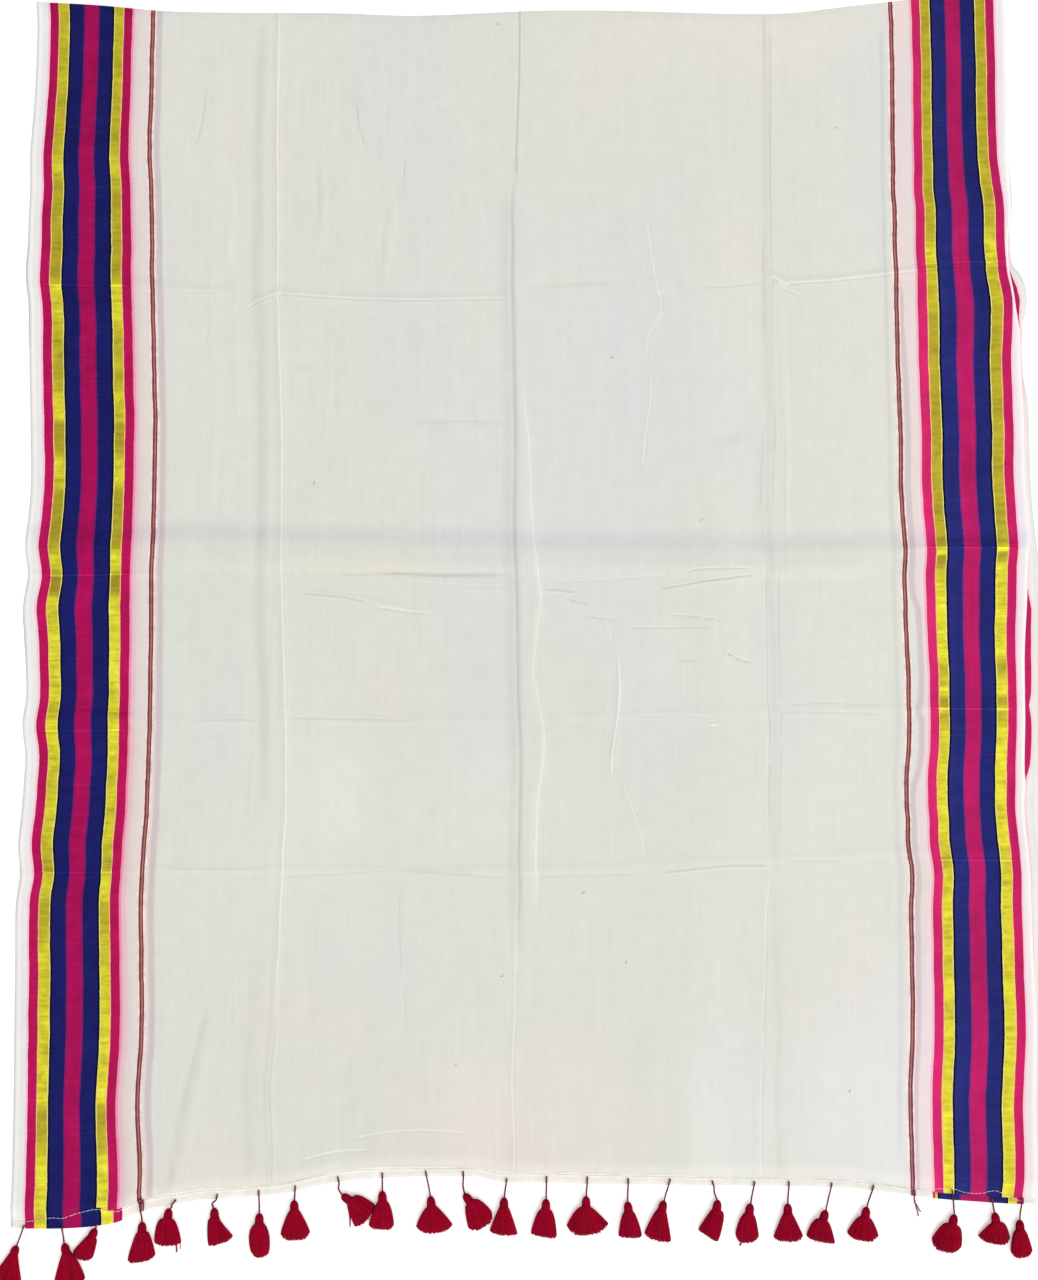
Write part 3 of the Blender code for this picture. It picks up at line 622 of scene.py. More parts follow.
@dataclass
class ClothLayout:
    """How the cloth is laid: where each point of it lies, and how its creases lift it."""
    width: float = 2 * HALF_WIDTH
    selvedge: float = 0.016
    border: float = 0.099
    length: float = 1.357
    fold_turn: float = 0.018
    wall: float = 0.0014
    gap: float = 0.0003
    layer: float = 0.0014
    hem_reach: float = 0.260
    fold_reach: float = 0.160
    panel_end: float = 0.0026
    droop_low: float = 0.006
    droop_high: float = 0.024
    origin_x: float = -0.0104029
    origin_y: float = -0.6375439
    edge_droop: float = 0.0003
    edge_reach: float = 0.009
    crease: float = 1.2
    billow: float = 0.00050
    billow_waves: Ripple = Ripple(9, 7, 0.3)
    rumple: float = 0.00034
    rumple_waves: Ripple = Ripple(46, 9, 1.3)
    calmer: float = 0.65
    calm_from: float = -0.33
    calm_run: float = 0.2
    level: float = 0.0099

    def __post_init__(self) -> None:
        """Works out the sizes that follow from the others and prepares the tables."""
        self.half = self.width / 2
        self.outer = self.half - self.selvedge
        self.inner = self.outer - self.border
        self.pile = 3 * self.layer + self.gap
        self.fold_radius = (self.pile + self.wall) / 2
        self.turn_start = self.length - self.fold_radius
        self.lines = {name: column_of(BORDER_LINES, "height", name)
                      for name in ("left_outer", "left_inner", "right_inner", "right_outer")}
        self.climb = column_of(CLIMBS, "up", "climb")
        self.hem_line = column_of(HEM_LINE, "across", "rise")
        self.fold_line = column_of(FOLD_LINE, "across", "rise")
        self.slant = column_of(SLANTS, "across", "shift")
        self.left_lustre = column_of(LEFT_LUSTRE, "up", "level", 1)
        self.right_lustre = column_of(RIGHT_LUSTRE, "up", "level", 1)
        self.under_left = column_of(UNDER_SHIFTS, "up", "left")
        self.under_right = column_of(UNDER_SHIFTS, "up", "right")
        self.right_selvedge = column_of(RIGHT_SELVEDGE, "up", "width")
        self.wrinkles = [(wrinkle, DrawnLine(wrinkle.line, max(wrinkle.near, wrinkle.far)))
                         for wrinkle in WRINKLES]
        self.sharp_lines = [(sharp, DrawnLine(sharp.line, sharp.reach)) for sharp in SHARP_LINES]

    def spot(self, across: float, up: float) -> Place:
        """Gives the place on the surface of a point of the laid cloth.

        Args:
            across: Its distance from the middle.
            up: Its distance from the hem.

        Returns:
            Its x and y in the model's frame.
        """
        climb = self.climb.at(up)
        edges = (-self.half, -self.outer, -self.inner, self.inner, self.outer, self.half)
        left = self.lines["left_outer"].at(up)
        right = self.lines["right_outer"].at(up + climb)
        places = (left - self.selvedge, left, self.lines["left_inner"].at(up),
                  self.lines["right_inner"].at(up + climb), right, right + self.selvedge)
        inside = min(max(across, -self.half), self.half)
        part = min(bisect.bisect_right(edges, inside), len(edges) - 1) - 1
        share = (inside - edges[part]) / (edges[part + 1] - edges[part])
        x = mix(places[part], places[part + 1], share) + across - inside
        hem_share = 1 - ease(up / self.hem_reach)
        fold_share = 1 - ease((self.length - up) / self.fold_reach)
        y = (up + self.hem_line.at(inside) * hem_share + self.fold_line.at(inside) * fold_share
             + climb * max(inside, 0) / self.inner)
        return x + self.origin_x, y + self.origin_y

    def lie(self, up: float) -> float:
        """Returns the height of the pallu's underside, which sinks to the surface at the hem."""
        drop = ease((up - self.droop_low) / (self.droop_high - self.droop_low))
        return mix(self.gap, self.pile, drop)

    def relief(self, across: float, up: float) -> float:
        """Gives how high the creases and the soft billow lift the cloth.

        Args:
            across: Its distance from the middle.
            up: Its distance from the hem.

        Returns:
            The lift in metres, below nought in a trough.
        """
        lift = self.crease * self.wrinkles_at(across, up)[0]
        lift += self.billow * self.billow_waves.at(across, up)
        crumple = 1 - self.calmer * ease((across - self.calm_from) / self.calm_run)
        lift += self.rumple * crumple * self.rumple_waves.at(across, up)
        edge = (self.half - abs(across)) / self.edge_reach
        return lift - self.edge_droop * (1 - ease(edge))

    def wrinkles_at(self, across: float, up: float) -> tuple[float, float, float]:
        """Adds up what the wrinkles do at a point.

        Args:
            across: Its distance from the middle.
            up: Its distance from the hem.

        Returns:
            The lift in metres, and the painted shade and its blueness in screen levels.
        """
        x, y = across / MM, up / MM
        lift = painted_shade = cold = 0.0
        for wrinkle, drawn in self.wrinkles:
            if drawn.reaches(x, y):
                off, gone = drawn.offset(x, y)
                share = hill(off / (wrinkle.near if off > 0 else wrinkle.far))
                share *= drawn.ends(gone, wrinkle.fade)
                lift += wrinkle.height * share * MM
                # painted shade along the wrinkle, and how much bluer that shade is
                painted_shade += wrinkle.painted_shade * share
                cold += wrinkle.cold * share
        return lift, painted_shade, cold

    def light(self, across: float, up: float) -> tuple[float, float, float]:
        """Gives how the cloth differs from its plain colour at a point: the wrinkles' painted
        shade and the broad tints.

        Args:
            across: Its distance from the middle.
            up: Its distance from the hem.

        Returns:
            The shares of light, of red and of blue that are added, or taken away below nought.
        """
        _, painted_shade, cold = self.wrinkles_at(across, up)
        total, pink = -painted_shade, 0.0
        x, y = across / MM, up / MM
        for tint in TINTS:
            share = hill(math.hypot((x - tint.across) / tint.wide, (y - tint.up) / tint.high))
            total += tint.light * share
            pink += tint.pink * share
            cold += tint.cold * share
        return total * self.level, pink * self.level, cold * self.level

    def sharp(self, across: float, up: float) -> tuple[float, float, float]:
        """Finds the sharp line nearest to a point.

        Args:
            across: Its distance from the middle.
            up: Its distance from the hem.

        Returns:
            How far the point lies off the line, above nought away from its dark side, and how much
            painted light and painted shade the line lays beside it, as shares of light.
        """
        x, y = across / MM, up / MM
        best = (1.0, 0.0, 0.0)
        for sharp, drawn in self.sharp_lines:
            if drawn.reaches(x, y):
                off, gone = drawn.offset(x, y)
                if abs(off) < min(sharp.reach, abs(best[0]) / MM):
                    share = drawn.ends(gone, sharp.fade) * self.level
                    side = -1 if sharp.dark_left else 1
                    best = (side * off * MM, sharp.light * share, sharp.dark * share)
        return best

    def under(self, across: float, up: float) -> float:
        """Returns how far the layer beneath lies to the right at a point."""
        return (self.under_left if across < 0 else self.under_right).at(up)

    def lustre(self, across: float, up: float) -> float:
        """Returns how bright the painted sheen on the gold of the nearer border is at a height."""
        return (self.left_lustre if across < 0 else self.right_lustre).straight(up)

    def face(self, across: float, up: float) -> float:
        """Returns the height of the pallu's upper face."""
        up = max(up, self.panel_end)
        return self.lie(up) + self.wall + self.relief(across, up)

    def on_face(self, across: float, up: float, above: float = 0.0) -> Vector:
        """Gives a place on the pallu's upper face.

        Args:
            across: Its distance from the middle.
            up: Its distance from the hem.
            above: How far over the face.

        Returns:
            The place.
        """
        return Vector((*self.spot(across, up), self.face(across, up) + above))


def linear(red: float, green: float, blue: float) -> Colour:
    """Turns a colour as a screen shows it, 0 to 255, into the light that it stands for.

    Args:
        red: Red, 0 to 255.
        green: Green, 0 to 255.
        blue: Blue, 0 to 255.

    Returns:
        The colour, 0 to 1, with an alpha of 1.
    """
    def light(value: float) -> float:
        """Returns the light of one channel."""
        value /= 255
        return value / 12.92 if value <= 0.04045 else ((value + 0.055) / 1.055) ** 2.4
    return light(red), light(green), light(blue), 1.0


class Signal:
    """What a node gives, which sums can be written with."""

    def __init__(self, weaver: "Weaver", socket: bpy.types.NodeSocket) -> None:
        """Keeps the material's nodes and the socket that carries it."""
        self.weaver = weaver
        self.socket = socket

    def __add__(self, other: "Input") -> "Signal":
        """Returns the sum of both."""
        return self.weaver.sum_up("ADD", self, other)

    def __sub__(self, other: "Input") -> "Signal":
        """Returns what is left when the other is taken away."""
        return self.weaver.sum_up("SUBTRACT", self, other)

    def __rsub__(self, other: "Input") -> "Signal":
        """Returns what is left of the other when this is taken away."""
        return self.weaver.sum_up("SUBTRACT", other, self)

    def __mul__(self, other: "Input") -> "Signal":
        """Returns both multiplied."""
        return self.weaver.sum_up("MULTIPLY", self, other)

    def __abs__(self) -> "Signal":
        """Returns it without its sign."""
        return self.weaver.sum_up("ABSOLUTE", self)


Input = float | Colour | tuple[float, float, float] | Signal


class Weaver:
    """Builds the nodes of one material, each call giving the signal that carries its result."""

    def __init__(self, name: str) -> None:
        """Starts a material with its own Principled shader."""
        self.material = bpy.data.materials.new(name)
        self.material.use_nodes = True
        self.tree = self.material.node_tree

    def feed(self, socket: bpy.types.NodeSocket, value: Input) -> None:
        """Gives an input socket a plain value, or links it to a signal."""
        if isinstance(value, Signal):
            self.tree.links.new(value.socket, socket)
        else:
            socket.default_value = value

    def surface(self, values: dict[str, Input]) -> None:
        """Gives the shader the values of its inputs, by name."""
        for name, value in values.items():
            self.feed(self.tree.nodes["Principled BSDF"].inputs[name], value)

    def node(self, kind: str, inputs: dict[int | str, Input],
             **settings: object) -> bpy.types.Node:
        """Adds a node.

        Args:
            kind: The node's type name.
            inputs: Its inputs' values by name or number.
            settings: Its own properties.

        Returns:
            The node.
        """
        made = self.tree.nodes.new(kind)
        for key, value in settings.items():
            setattr(made, key, value)
        for key, value in inputs.items():
            self.feed(made.inputs[key], value)
        return made

    def out(self, made: bpy.types.Node, output: int | str = 0) -> Signal:
        """Returns what one output of a node gives."""
        return Signal(self, made.outputs[output])

    def parts(self, kind: str, value: Input) -> list[Signal]:
        """Returns the three parts that a node of a kind takes a value into."""
        return [Signal(self, socket) for socket in self.node(kind, {0: value}).outputs]

    def sum_up(self, operation: str, *values: Input) -> Signal:
        """Works out a Math node of an operation on values in order."""
        return self.out(self.node("ShaderNodeMath", dict(enumerate(values)), operation=operation))

    def blend(self, share: Input, low: Input, high: Input, way: str = "MIX") -> Signal:
        """Mixes two colours, with a share of the second, by the Mix node's blend type."""
        return self.out(self.node("ShaderNodeMix", {0: share, 6: low, 7: high}, data_type="RGBA",
                                  blend_type=way, clamp_factor=True), 2)

    def grain(self, vector: Input, scale: tuple[float, float, float], detail: float = 2,
              rough: float = 0.5) -> Signal:
        """Adds a noise pattern.

        Args:
            vector: Where the pattern is read.
            scale: How fine it is along each axis, in waves a metre.
            detail: How many finer waves it has.
            rough: How strong the finer waves are.

        Returns:
            Its value, 0 to 1.
        """
        placed = self.out(self.node("ShaderNodeMapping", {"Vector": vector, "Scale": scale}))
        return self.out(self.node("ShaderNodeTexNoise", {"Vector": placed, "Scale": 1.0,
                                                         "Detail": detail, "Roughness": rough}))

    def spread(self, value: Input, low: float, high: float, floor: float = 0.0,
               top: float = 1.0) -> Signal:
        """Stretches a value from low and high to a floor and a top, and holds it between them."""
        return self.out(self.node("ShaderNodeMapRange",
                                  {0: value, 1: low, 2: high, 3: floor, 4: top}, clamp=True))

    def ramp(self, value: Input, stops: Sequence[tuple[float, Colour]],
             joined: str = "CONSTANT") -> bpy.types.Node:
        """Turns a value into a colour.

        Args:
            value: The value, 0 to 1.
            stops: The place of each colour, and the colour.
            joined: How the ramp goes from one to the next.

        Returns:
            The ramp's node.
        """
        made = self.node("ShaderNodeValToRGB", {0: value})
        ramp = made.color_ramp
        ramp.interpolation = joined
        ramp.elements.remove(ramp.elements[-1])
        ramp.elements[0].position, ramp.elements[0].color = stops[0]
        for place, colour in stops[1:]:
            ramp.elements.new(place).color = colour
        return made

    def attribute(self, name: str) -> Signal:
        """Returns a number kept on the mesh."""
        return self.out(self.node("ShaderNodeAttribute", {}, attribute_name=name), "Fac")

    def relief(self, height: Input, distance: float, strength: float) -> None:
        """Gives the shader a bump of a height, 0 to 1, where 1 is a distance in metres."""
        self.surface({"Normal": self.out(self.node(
            "ShaderNodeBump", {"Height": height, "Distance": distance, "Strength": strength}))})


class Sheen(Enum):
    """How a stripe takes the light: as gold yarn, as coloured yarn, or as the body's white."""
    GOLD = (1.0, 0.0, 0.0, 1.0)
    DYED = (0.0, 1.0, 0.0, 1.0)
    PLAIN = (0.0, 0.0, 1.0, 1.0)
    LINE = (0.0, 0.0, 0.0, 1.0)


class Yarn(Enum):
    """The yarns of the stripes, each with its colour as dyed and how it takes the light."""
    WHITE = linear(216, 216, 207), Sheen.PLAIN
    SELVEDGE = linear(230, 228, 226), Sheen.PLAIN
    BLUSH = linear(250, 186, 210), Sheen.PLAIN
    PINK = linear(238, 150, 180), Sheen.PLAIN
    PEACH = linear(240, 216, 210), Sheen.LINE
    BROWN = linear(122, 58, 60), Sheen.LINE
    TAN = linear(168, 116, 114), Sheen.LINE
    ROSE = linear(177, 8, 80), Sheen.DYED
    MAGENTA = linear(164, 0, 80), Sheen.DYED
    PLUM = linear(112, 20, 98), Sheen.DYED
    CREAM = linear(240, 190, 128), Sheen.LINE
    PALE = linear(226, 218, 140), Sheen.LINE
    GOLD = linear(226, 222, 40), Sheen.GOLD
    NAVY = linear(14, 20, 93), Sheen.DYED
    DEEP = linear(6, 8, 14), Sheen.LINE


@dataclass(frozen=True)
class Stripe:
    """A woven stripe: where it starts from the middle of the cloth outwards, and its yarn."""
    start: float
    yarn: Yarn


STRIPES = rows_of(Stripe, (
    (0, Yarn.WHITE), (431, Yarn.PEACH), (432.8, Yarn.BROWN), (434.7, Yarn.TAN),
    (436.2, Yarn.BROWN), (438, Yarn.PEACH), (439.8, Yarn.WHITE), (457.5, Yarn.PINK),
    (460, Yarn.ROSE), (470.1, Yarn.CREAM), (471.2, Yarn.GOLD), (481.2, Yarn.PALE),
    (482.1, Yarn.DEEP), (484.5, Yarn.NAVY), (500.2, Yarn.PLUM), (501.8, Yarn.MAGENTA),
    (517.2, Yarn.PLUM), (518.8, Yarn.NAVY), (533.9, Yarn.DEEP), (536.2, Yarn.PALE),
    (537.1, Yarn.GOLD), (547.9, Yarn.CREAM), (549, Yarn.ROSE), (559, Yarn.BLUSH),
    (562, Yarn.SELVEDGE),
))


@dataclass(frozen=True)
class Glimpse:
    """What shows through the white of a layer below, at a distance from its middle."""
    start: float
    colour: tuple[float, float, float]
    share: float


GLIMPSES = rows_of(Glimpse, (
    (426, (216, 216, 207), 0), (431, (184, 146, 166), 0.42), (434.5, (184, 146, 166), 0.42),
    (438, (236, 198, 206), 0.40), (446, (236, 200, 208), 0.42), (452, (234, 200, 200), 0.30),
    (457, (230, 180, 186), 0.28), (463, (230, 140, 170), 0.45), (470, (232, 112, 158), 0.66),
    (480, (200, 190, 110), 0.50), (500, (120, 120, 168), 0.50), (535, (150, 140, 170), 0.30),
    (550, (226, 180, 200), 0.16), (564, (228, 200, 212), 0.24), (572, (216, 216, 220), 0.05),
))


@dataclass
class WovenCotton:
    """The cloth: fine white cotton with striped borders, a little crumpled and uneven."""
    name: str
    whiteness: float = 0.0
    see_through: float = 1.0
    first: float = 0.428
    last: float = 0.562
    below_first: float = 0.42
    below_last: float = 0.58
    olive: Colour = linear(158, 140, 38)
    bright: Colour = linear(228, 222, 50)
    glare: Colour = linear(248, 242, 140)
    cream: Colour = linear(222, 216, 196)
    pinkish: Colour = linear(226, 212, 206)
    cool: Colour = linear(210, 214, 211)
    hem_white: Colour = linear(235, 232, 224)
    right_lightening: Colour = (1.32, 1.32, 1.36, 1.0)
    haze: Colour = (0.010, 0.013, 0.014, 1.0)
    lint: Colour = (0.016, 0.008, 0.016, 1.0)
    lustre: float = 0.86
    wander: float = 0.0014
    jitter: float = 0.0003
    ridge: float = 0.0014
    hollow: float = 0.0022

    def __post_init__(self) -> None:
        """Lays out the stripes and the patterns that the cloth is made from."""
        self.weaver = weaver = Weaver(self.name)
        self.cloth = weaver.out(weaver.node("ShaderNodeUVMap", {}, uv_map="cloth"))
        self.along, self.up, _ = weaver.parts("ShaderNodeSeparateXYZ", self.cloth)
        self.across = (self.along - HALF_WIDTH
                       + weaver.spread(self.pattern(5, 24, 3), 0, 1, -self.wander, self.wander)
                       + weaver.spread(self.pattern(30, 420, 1), 0, 1, -self.jitter, self.jitter))
        place = weaver.spread(abs(self.across), self.first, self.last)
        starts = [max((row.start * MM - self.first) / (self.last - self.first), 0.0)
                  for row in STRIPES]
        self.stripes, kinds = (
            weaver.out(weaver.ramp(place, list(zip(starts, colours))))
            for colours in ([row.yarn.value[0] for row in STRIPES],
                            [row.yarn.value[1].value for row in STRIPES]))
        self.gold, self.dyed, self.body = weaver.parts("ShaderNodeSeparateColor", kinds)
        self.warp = self.pattern(620, 14, 3, 0.7)
        self.weft = self.pattern(22, 560, 3, 0.7)
        self.slub = self.pattern(170, 6, 4, 0.7)
        self.mottle = self.pattern(46, 46, 4, 0.62)

    def pattern(self, wide: float, high: float, detail: float, rough: float = 0.5) -> Signal:
        """Returns a noise pattern of so many waves a metre across the cloth and up it."""
        return self.weaver.grain(self.cloth, (wide, high, 1), detail, rough)

    def make(self) -> bpy.types.Material:
        """Builds the material.

        Returns:
            The material.
        """
        weaver = self.weaver
        sharp = self.sharp_profile()
        colour = self.gilded(self.seen_through(self.tinted()))
        weaver.surface({
            "Base Color": self.streaked(self.lightened_with_lint(colour), sharp),
            "Roughness": 0.88 - self.gold * 0.45 - self.dyed * 0.18,
            "Metallic": self.gold * 0.25, "Specular IOR Level": 0.10,
            "Sheen Weight": 0.02, "Sheen Roughness": 0.5,
        })
        height = (self.pattern(105, 17, 4, 0.62)
                  * weaver.spread(self.along, 0.24, 0.46, 0.00062, 0.00026))
        for pattern, high in ((self.warp, 0.00006), (self.weft, 0.00006), (self.mottle, 0.0004),
                              (weaver.spread(sharp, -0.2, 0.2, -0.2, 0.2), 0.0011)):
            height += pattern * high
        weaver.relief(height, 1.0, 0.7)
        return weaver.material

    def dyed_unevenness(self) -> Signal:
        """Makes the dyed stripes darker towards the fold and uneven along the border, and breaks
        up the thin lines.

        Returns:
            The light that this adds.
        """
        spread = self.weaver.spread
        deep = spread(self.up, 0.90, 1.20, 0.0, -0.15)
        soft = spread(self.pattern(9, 12, 3), 0.3, 0.7, -0.14, 0.12)
        dash = spread(self.pattern(60, 110, 2), 0.35, 0.65, -0.18, 0.10)
        return self.dyed * (deep + soft) + dash * (1.0 - (self.gold + self.dyed + self.body))

    def sharp_profile(self) -> Signal:
        """Paints the sharp lines' light and shade from how far each point lies off the nearest
        one.

        Returns:
            The painted light that the lines add, and below nought their painted shade.
        """
        weaver = self.weaver
        off = weaver.attribute("off")
        ridge = weaver.spread(abs(off), self.ridge, 0.0002)
        hollow = weaver.spread(abs(off + self.hollow), 0.0021, 0.0004)
        # painted highlight on each line's ridge, painted shade on its dark side
        lines = ridge * weaver.attribute("glint") - hollow * weaver.attribute("painted_crease_shade")
        return lines * weaver.spread(self.slub, 0.3, 0.7, 0.7, 1.3)

    def lightened_with_lint(self, colour: Signal) -> Signal:
        """Lightens the dyes of the right border a little, less at its edge, and lays lint on both.

        Args:
            colour: The colour so far.

        Returns:
            The colour.
        """
        spread, blend = self.weaver.spread, self.weaver.blend
        right = self.dyed * (spread(self.along, 0.56, 0.60)
                             * spread(self.along, 1.045, 1.085, 1.0, 0.5))
        colour = blend(right, blend(right, colour, self.right_lightening, "MULTIPLY"), self.haze, "ADD")
        fluff = spread(self.weft, 0.42, 0.74) * spread(self.mottle, 0.3, 0.7)
        return blend(fluff * self.dyed, colour, self.lint, "ADD")

    def tinted(self) -> Signal:
        """Gives the white its broad cream, cool and pink places.

        Returns:
            The colour of the tinted stripes.
        """
        spread = self.weaver.spread
        broad, patch = self.pattern(5.5, 2.6, 3), self.pattern(3.1, 3.9, 3)
        colour = self.stripes
        for share, tint in (
                (spread(broad, 0.48, 0.74, 0, 0.32) * self.body, self.cream),
                (spread(broad, 0.50, 0.30, 0, 0.50) * self.body, self.cool),
                (spread(patch, 0.46, 0.66, 0, 0.5) * self.body * spread(self.up, 0.30, 0.05),
                 self.pinkish),
                (self.body * self.whiteness, self.hem_white)):
            colour = self.weaver.blend(share, colour, tint)
        return colour

    def seen_through(self, colour: Signal) -> Signal:
        """Lets the stripes of the layer beneath show faintly through the white.

        Args:
            colour: The colour so far.

        Returns:
            The colour.
        """
        weaver = self.weaver
        first, last = self.below_first, self.below_last
        place = weaver.spread(abs(self.across - weaver.attribute("under")), first, last)
        stops = [((row.start * MM - first) / (last - first), (*linear(*row.colour)[:3], row.share))
                 for row in GLIMPSES]
        below = weaver.ramp(place, [(0.0, stops[0][1]), *stops], "EASE")
        share = weaver.out(below, "Alpha") * self.body * self.see_through
        return weaver.blend(share, colour, weaver.out(below))

    def gilded(self, colour: Signal) -> Signal:
        """Paints the gold stripes' sheen, from olive to bright and glaring, with short streaks of
        painted highlight across them.

        Args:
            colour: The colour so far.

        Returns:
            The colour.
        """
        spread, blend = self.weaver.spread, self.weaver.blend
        shine = self.weaver.attribute("shine")
        play = (spread(self.mottle, 0.32, 0.68, -0.30, 0.30)
                + spread(self.weft, 0.3, 0.7, -0.12, 0.12)
                + spread(self.pattern(34, 190, 3, 0.6), 0.32, 0.68, -0.30, 0.30))
        # painted sheen: the gold's level from olive to bright, and on to glare
        level = shine * self.lustre + play * spread(shine, 0.3, 0.9, 0.4, 1.0)
        gilt = blend(spread(level, 0, 1), self.olive, self.bright)
        return blend(self.gold, colour, blend(spread(level, 1.0, 1.5), gilt, self.glare))

    def streaked(self, colour: Signal, sharp: Signal) -> Signal:
        """Shades the cloth thread by thread, and lays on the mesh's painted light and shade and
        its broad tints, lighter, pinker and bluer.

        Args:
            colour: The colour so far.
            sharp: The painted light and shade that the sharp lines add.

        Returns:
            The colour.
        """
        weaver = self.weaver
        spread, attribute = weaver.spread, weaver.attribute
        threads = (spread(self.warp, 0.25, 0.75, -0.012, 0.012)
                   + spread(self.weft, 0.25, 0.75, -0.014, 0.014))
        thick = (spread(self.slub, 0.25, 0.75, -0.030, 0.030)
                 + spread(self.mottle, 0.2, 0.8, -0.034, 0.034))
        amount = ((threads + thick) * (self.dyed * 3.0 + 1.0) + attribute("shade")
                  + (sharp + self.dyed_unevenness()) + 1.0)
        channels = {0: amount + attribute("pink"), 1: amount, 2: amount + attribute("cold")}
        lit = weaver.out(weaver.node("ShaderNodeCombineColor", channels))
        return weaver.blend(1.0, colour, lit, "MULTIPLY")


@dataclass(frozen=True)
class SpunThread:
    """Spun cotton thread, dyed, whose single threads differ a little."""
    name: str
    dark: Colour
    light: Colour

    def make(self) -> bpy.types.Material:
        """Builds the material.

        Returns:
            The material.
        """
        weaver = Weaver(self.name)
        here = weaver.out(weaver.node("ShaderNodeTexCoord", {}), "Object")
        fibre = weaver.grain(here, (1500, 1500, 1500), 3, 0.6)
        cloudy = weaver.grain(here, (120, 120, 120), 2)
        tone = weaver.spread(weaver.attribute("tone") + weaver.spread(fibre, 0.3, 0.7, -0.12, 0.12)
                             + weaver.spread(cloudy, 0.3, 0.7, -0.15, 0.15), 0, 1)
        weaver.surface({"Base Color": weaver.blend(tone, self.dark, self.light),
                        "Roughness": 0.85, "Specular IOR Level": 0.06,
                        "Sheen Weight": 0.02, "Sheen Roughness": 0.4})
        weaver.relief(fibre, 0.0002, 0.5)
        return weaver.material


@dataclass(frozen=True)
class PaleFloor:
    """The plain pale floor that the saree lies on."""
    name: str = "pale_floor"
    paint: Colour = (0.975, 0.975, 0.975, 1.0)
    dull: Colour = (0.94, 0.94, 0.945, 1.0)
    # the floor glows a little, which pales the shadows cast on it
    glow: float = 0.26

    def make(self) -> bpy.types.Material:
        """Builds the material.

        Returns:
            The material.
        """
        weaver = Weaver(self.name)
        here = weaver.out(weaver.node("ShaderNodeTexCoord", {}), "Object")
        shade = weaver.spread(weaver.grain(here, (2, 2, 2), 2), 0.3, 0.7, 0.0, 0.1)
        weaver.surface({"Base Color": weaver.blend(shade, self.paint, self.dull),
                        "Roughness": 0.9, "Specular IOR Level": 0.1,
                        "Emission Color": (1.0, 1.0, 1.0, 1.0), "Emission Strength": self.glow})
        return weaver.material


@dataclass
class LaidPoint:
    """Where a point of the cloth lies, and how it takes colour and light there."""
    place: Vector
    across: float
    up: float
    shine: float = 0.5
    shade: float = 0.0
    pink: float = 0.0
    cold: float = 0.0
    under: float = 0.0
    off: float = 1.0
    glint: float = 0.0
    painted_crease_shade: float = 0.0


POINT_NUMBERS = ("shine", "shade", "pink", "cold", "under", "off", "glint", "painted_crease_shade")


def put_in_scene(name: str, bm: bmesh.types.BMesh,
                 materials: Sequence[bpy.types.Material]) -> bpy.types.Object:
    """Makes an object at the origin of a finished bmesh.

    Args:
        name: The object's name.
        bm: The bmesh, which is freed.
        materials: Its materials in the order of the faces' numbers.

    Returns:
        The object.
    """
    mesh = bpy.data.meshes.new(name)
    bm.to_mesh(mesh)
    bm.free()
    mesh.shade_smooth()
    for material in materials:
        mesh.materials.append(material)
    made = bpy.data.objects.new(name, mesh)
    bpy.context.scene.collection.objects.link(made)
    return made


def laid_sheet(name: str, columns: Sequence[float], rows: Sequence[float],
               lay: Callable[[float, float], LaidPoint], material: bpy.types.Material,
               wall: float) -> bpy.types.Object:
    """Makes a thin shell of cloth whose face is laid point by point.

    Args:
        name: The piece's name.
        columns: The places of its lines across.
        rows: The places of its lines up.
        lay: Gives the point of a column and a row.
        material: The cloth.
        wall: How thick the shell is, below its face.

    Returns:
        The piece.
    """
    bm = bmesh.new()
    bmesh.ops.create_grid(bm, x_segments=len(columns) - 1, y_segments=len(rows) - 1, size=1)
    uv = bm.loops.layers.uv.new("cloth")
    layers = {key: bm.verts.layers.float.new(key) for key in POINT_NUMBERS}
    points = {}
    for vert in bm.verts:
        column = round((vert.co.x + 1) / 2 * (len(columns) - 1))
        row = round((vert.co.y + 1) / 2 * (len(rows) - 1))
        point = lay(columns[column], rows[row])
        vert.co = point.place
        for key, layer in layers.items():
            vert[layer] = getattr(point, key)
        points[vert] = point
    for face in bm.faces:
        for loop in face.loops:
            point = points[loop.vert]
            loop[uv].uv = (point.across + HALF_WIDTH, point.up)
    made = put_in_scene(name, bm, [material])
    solidify = made.modifiers.new("Cloth", "SOLIDIFY")
    solidify.thickness = wall
    solidify.offset = -1
    return made


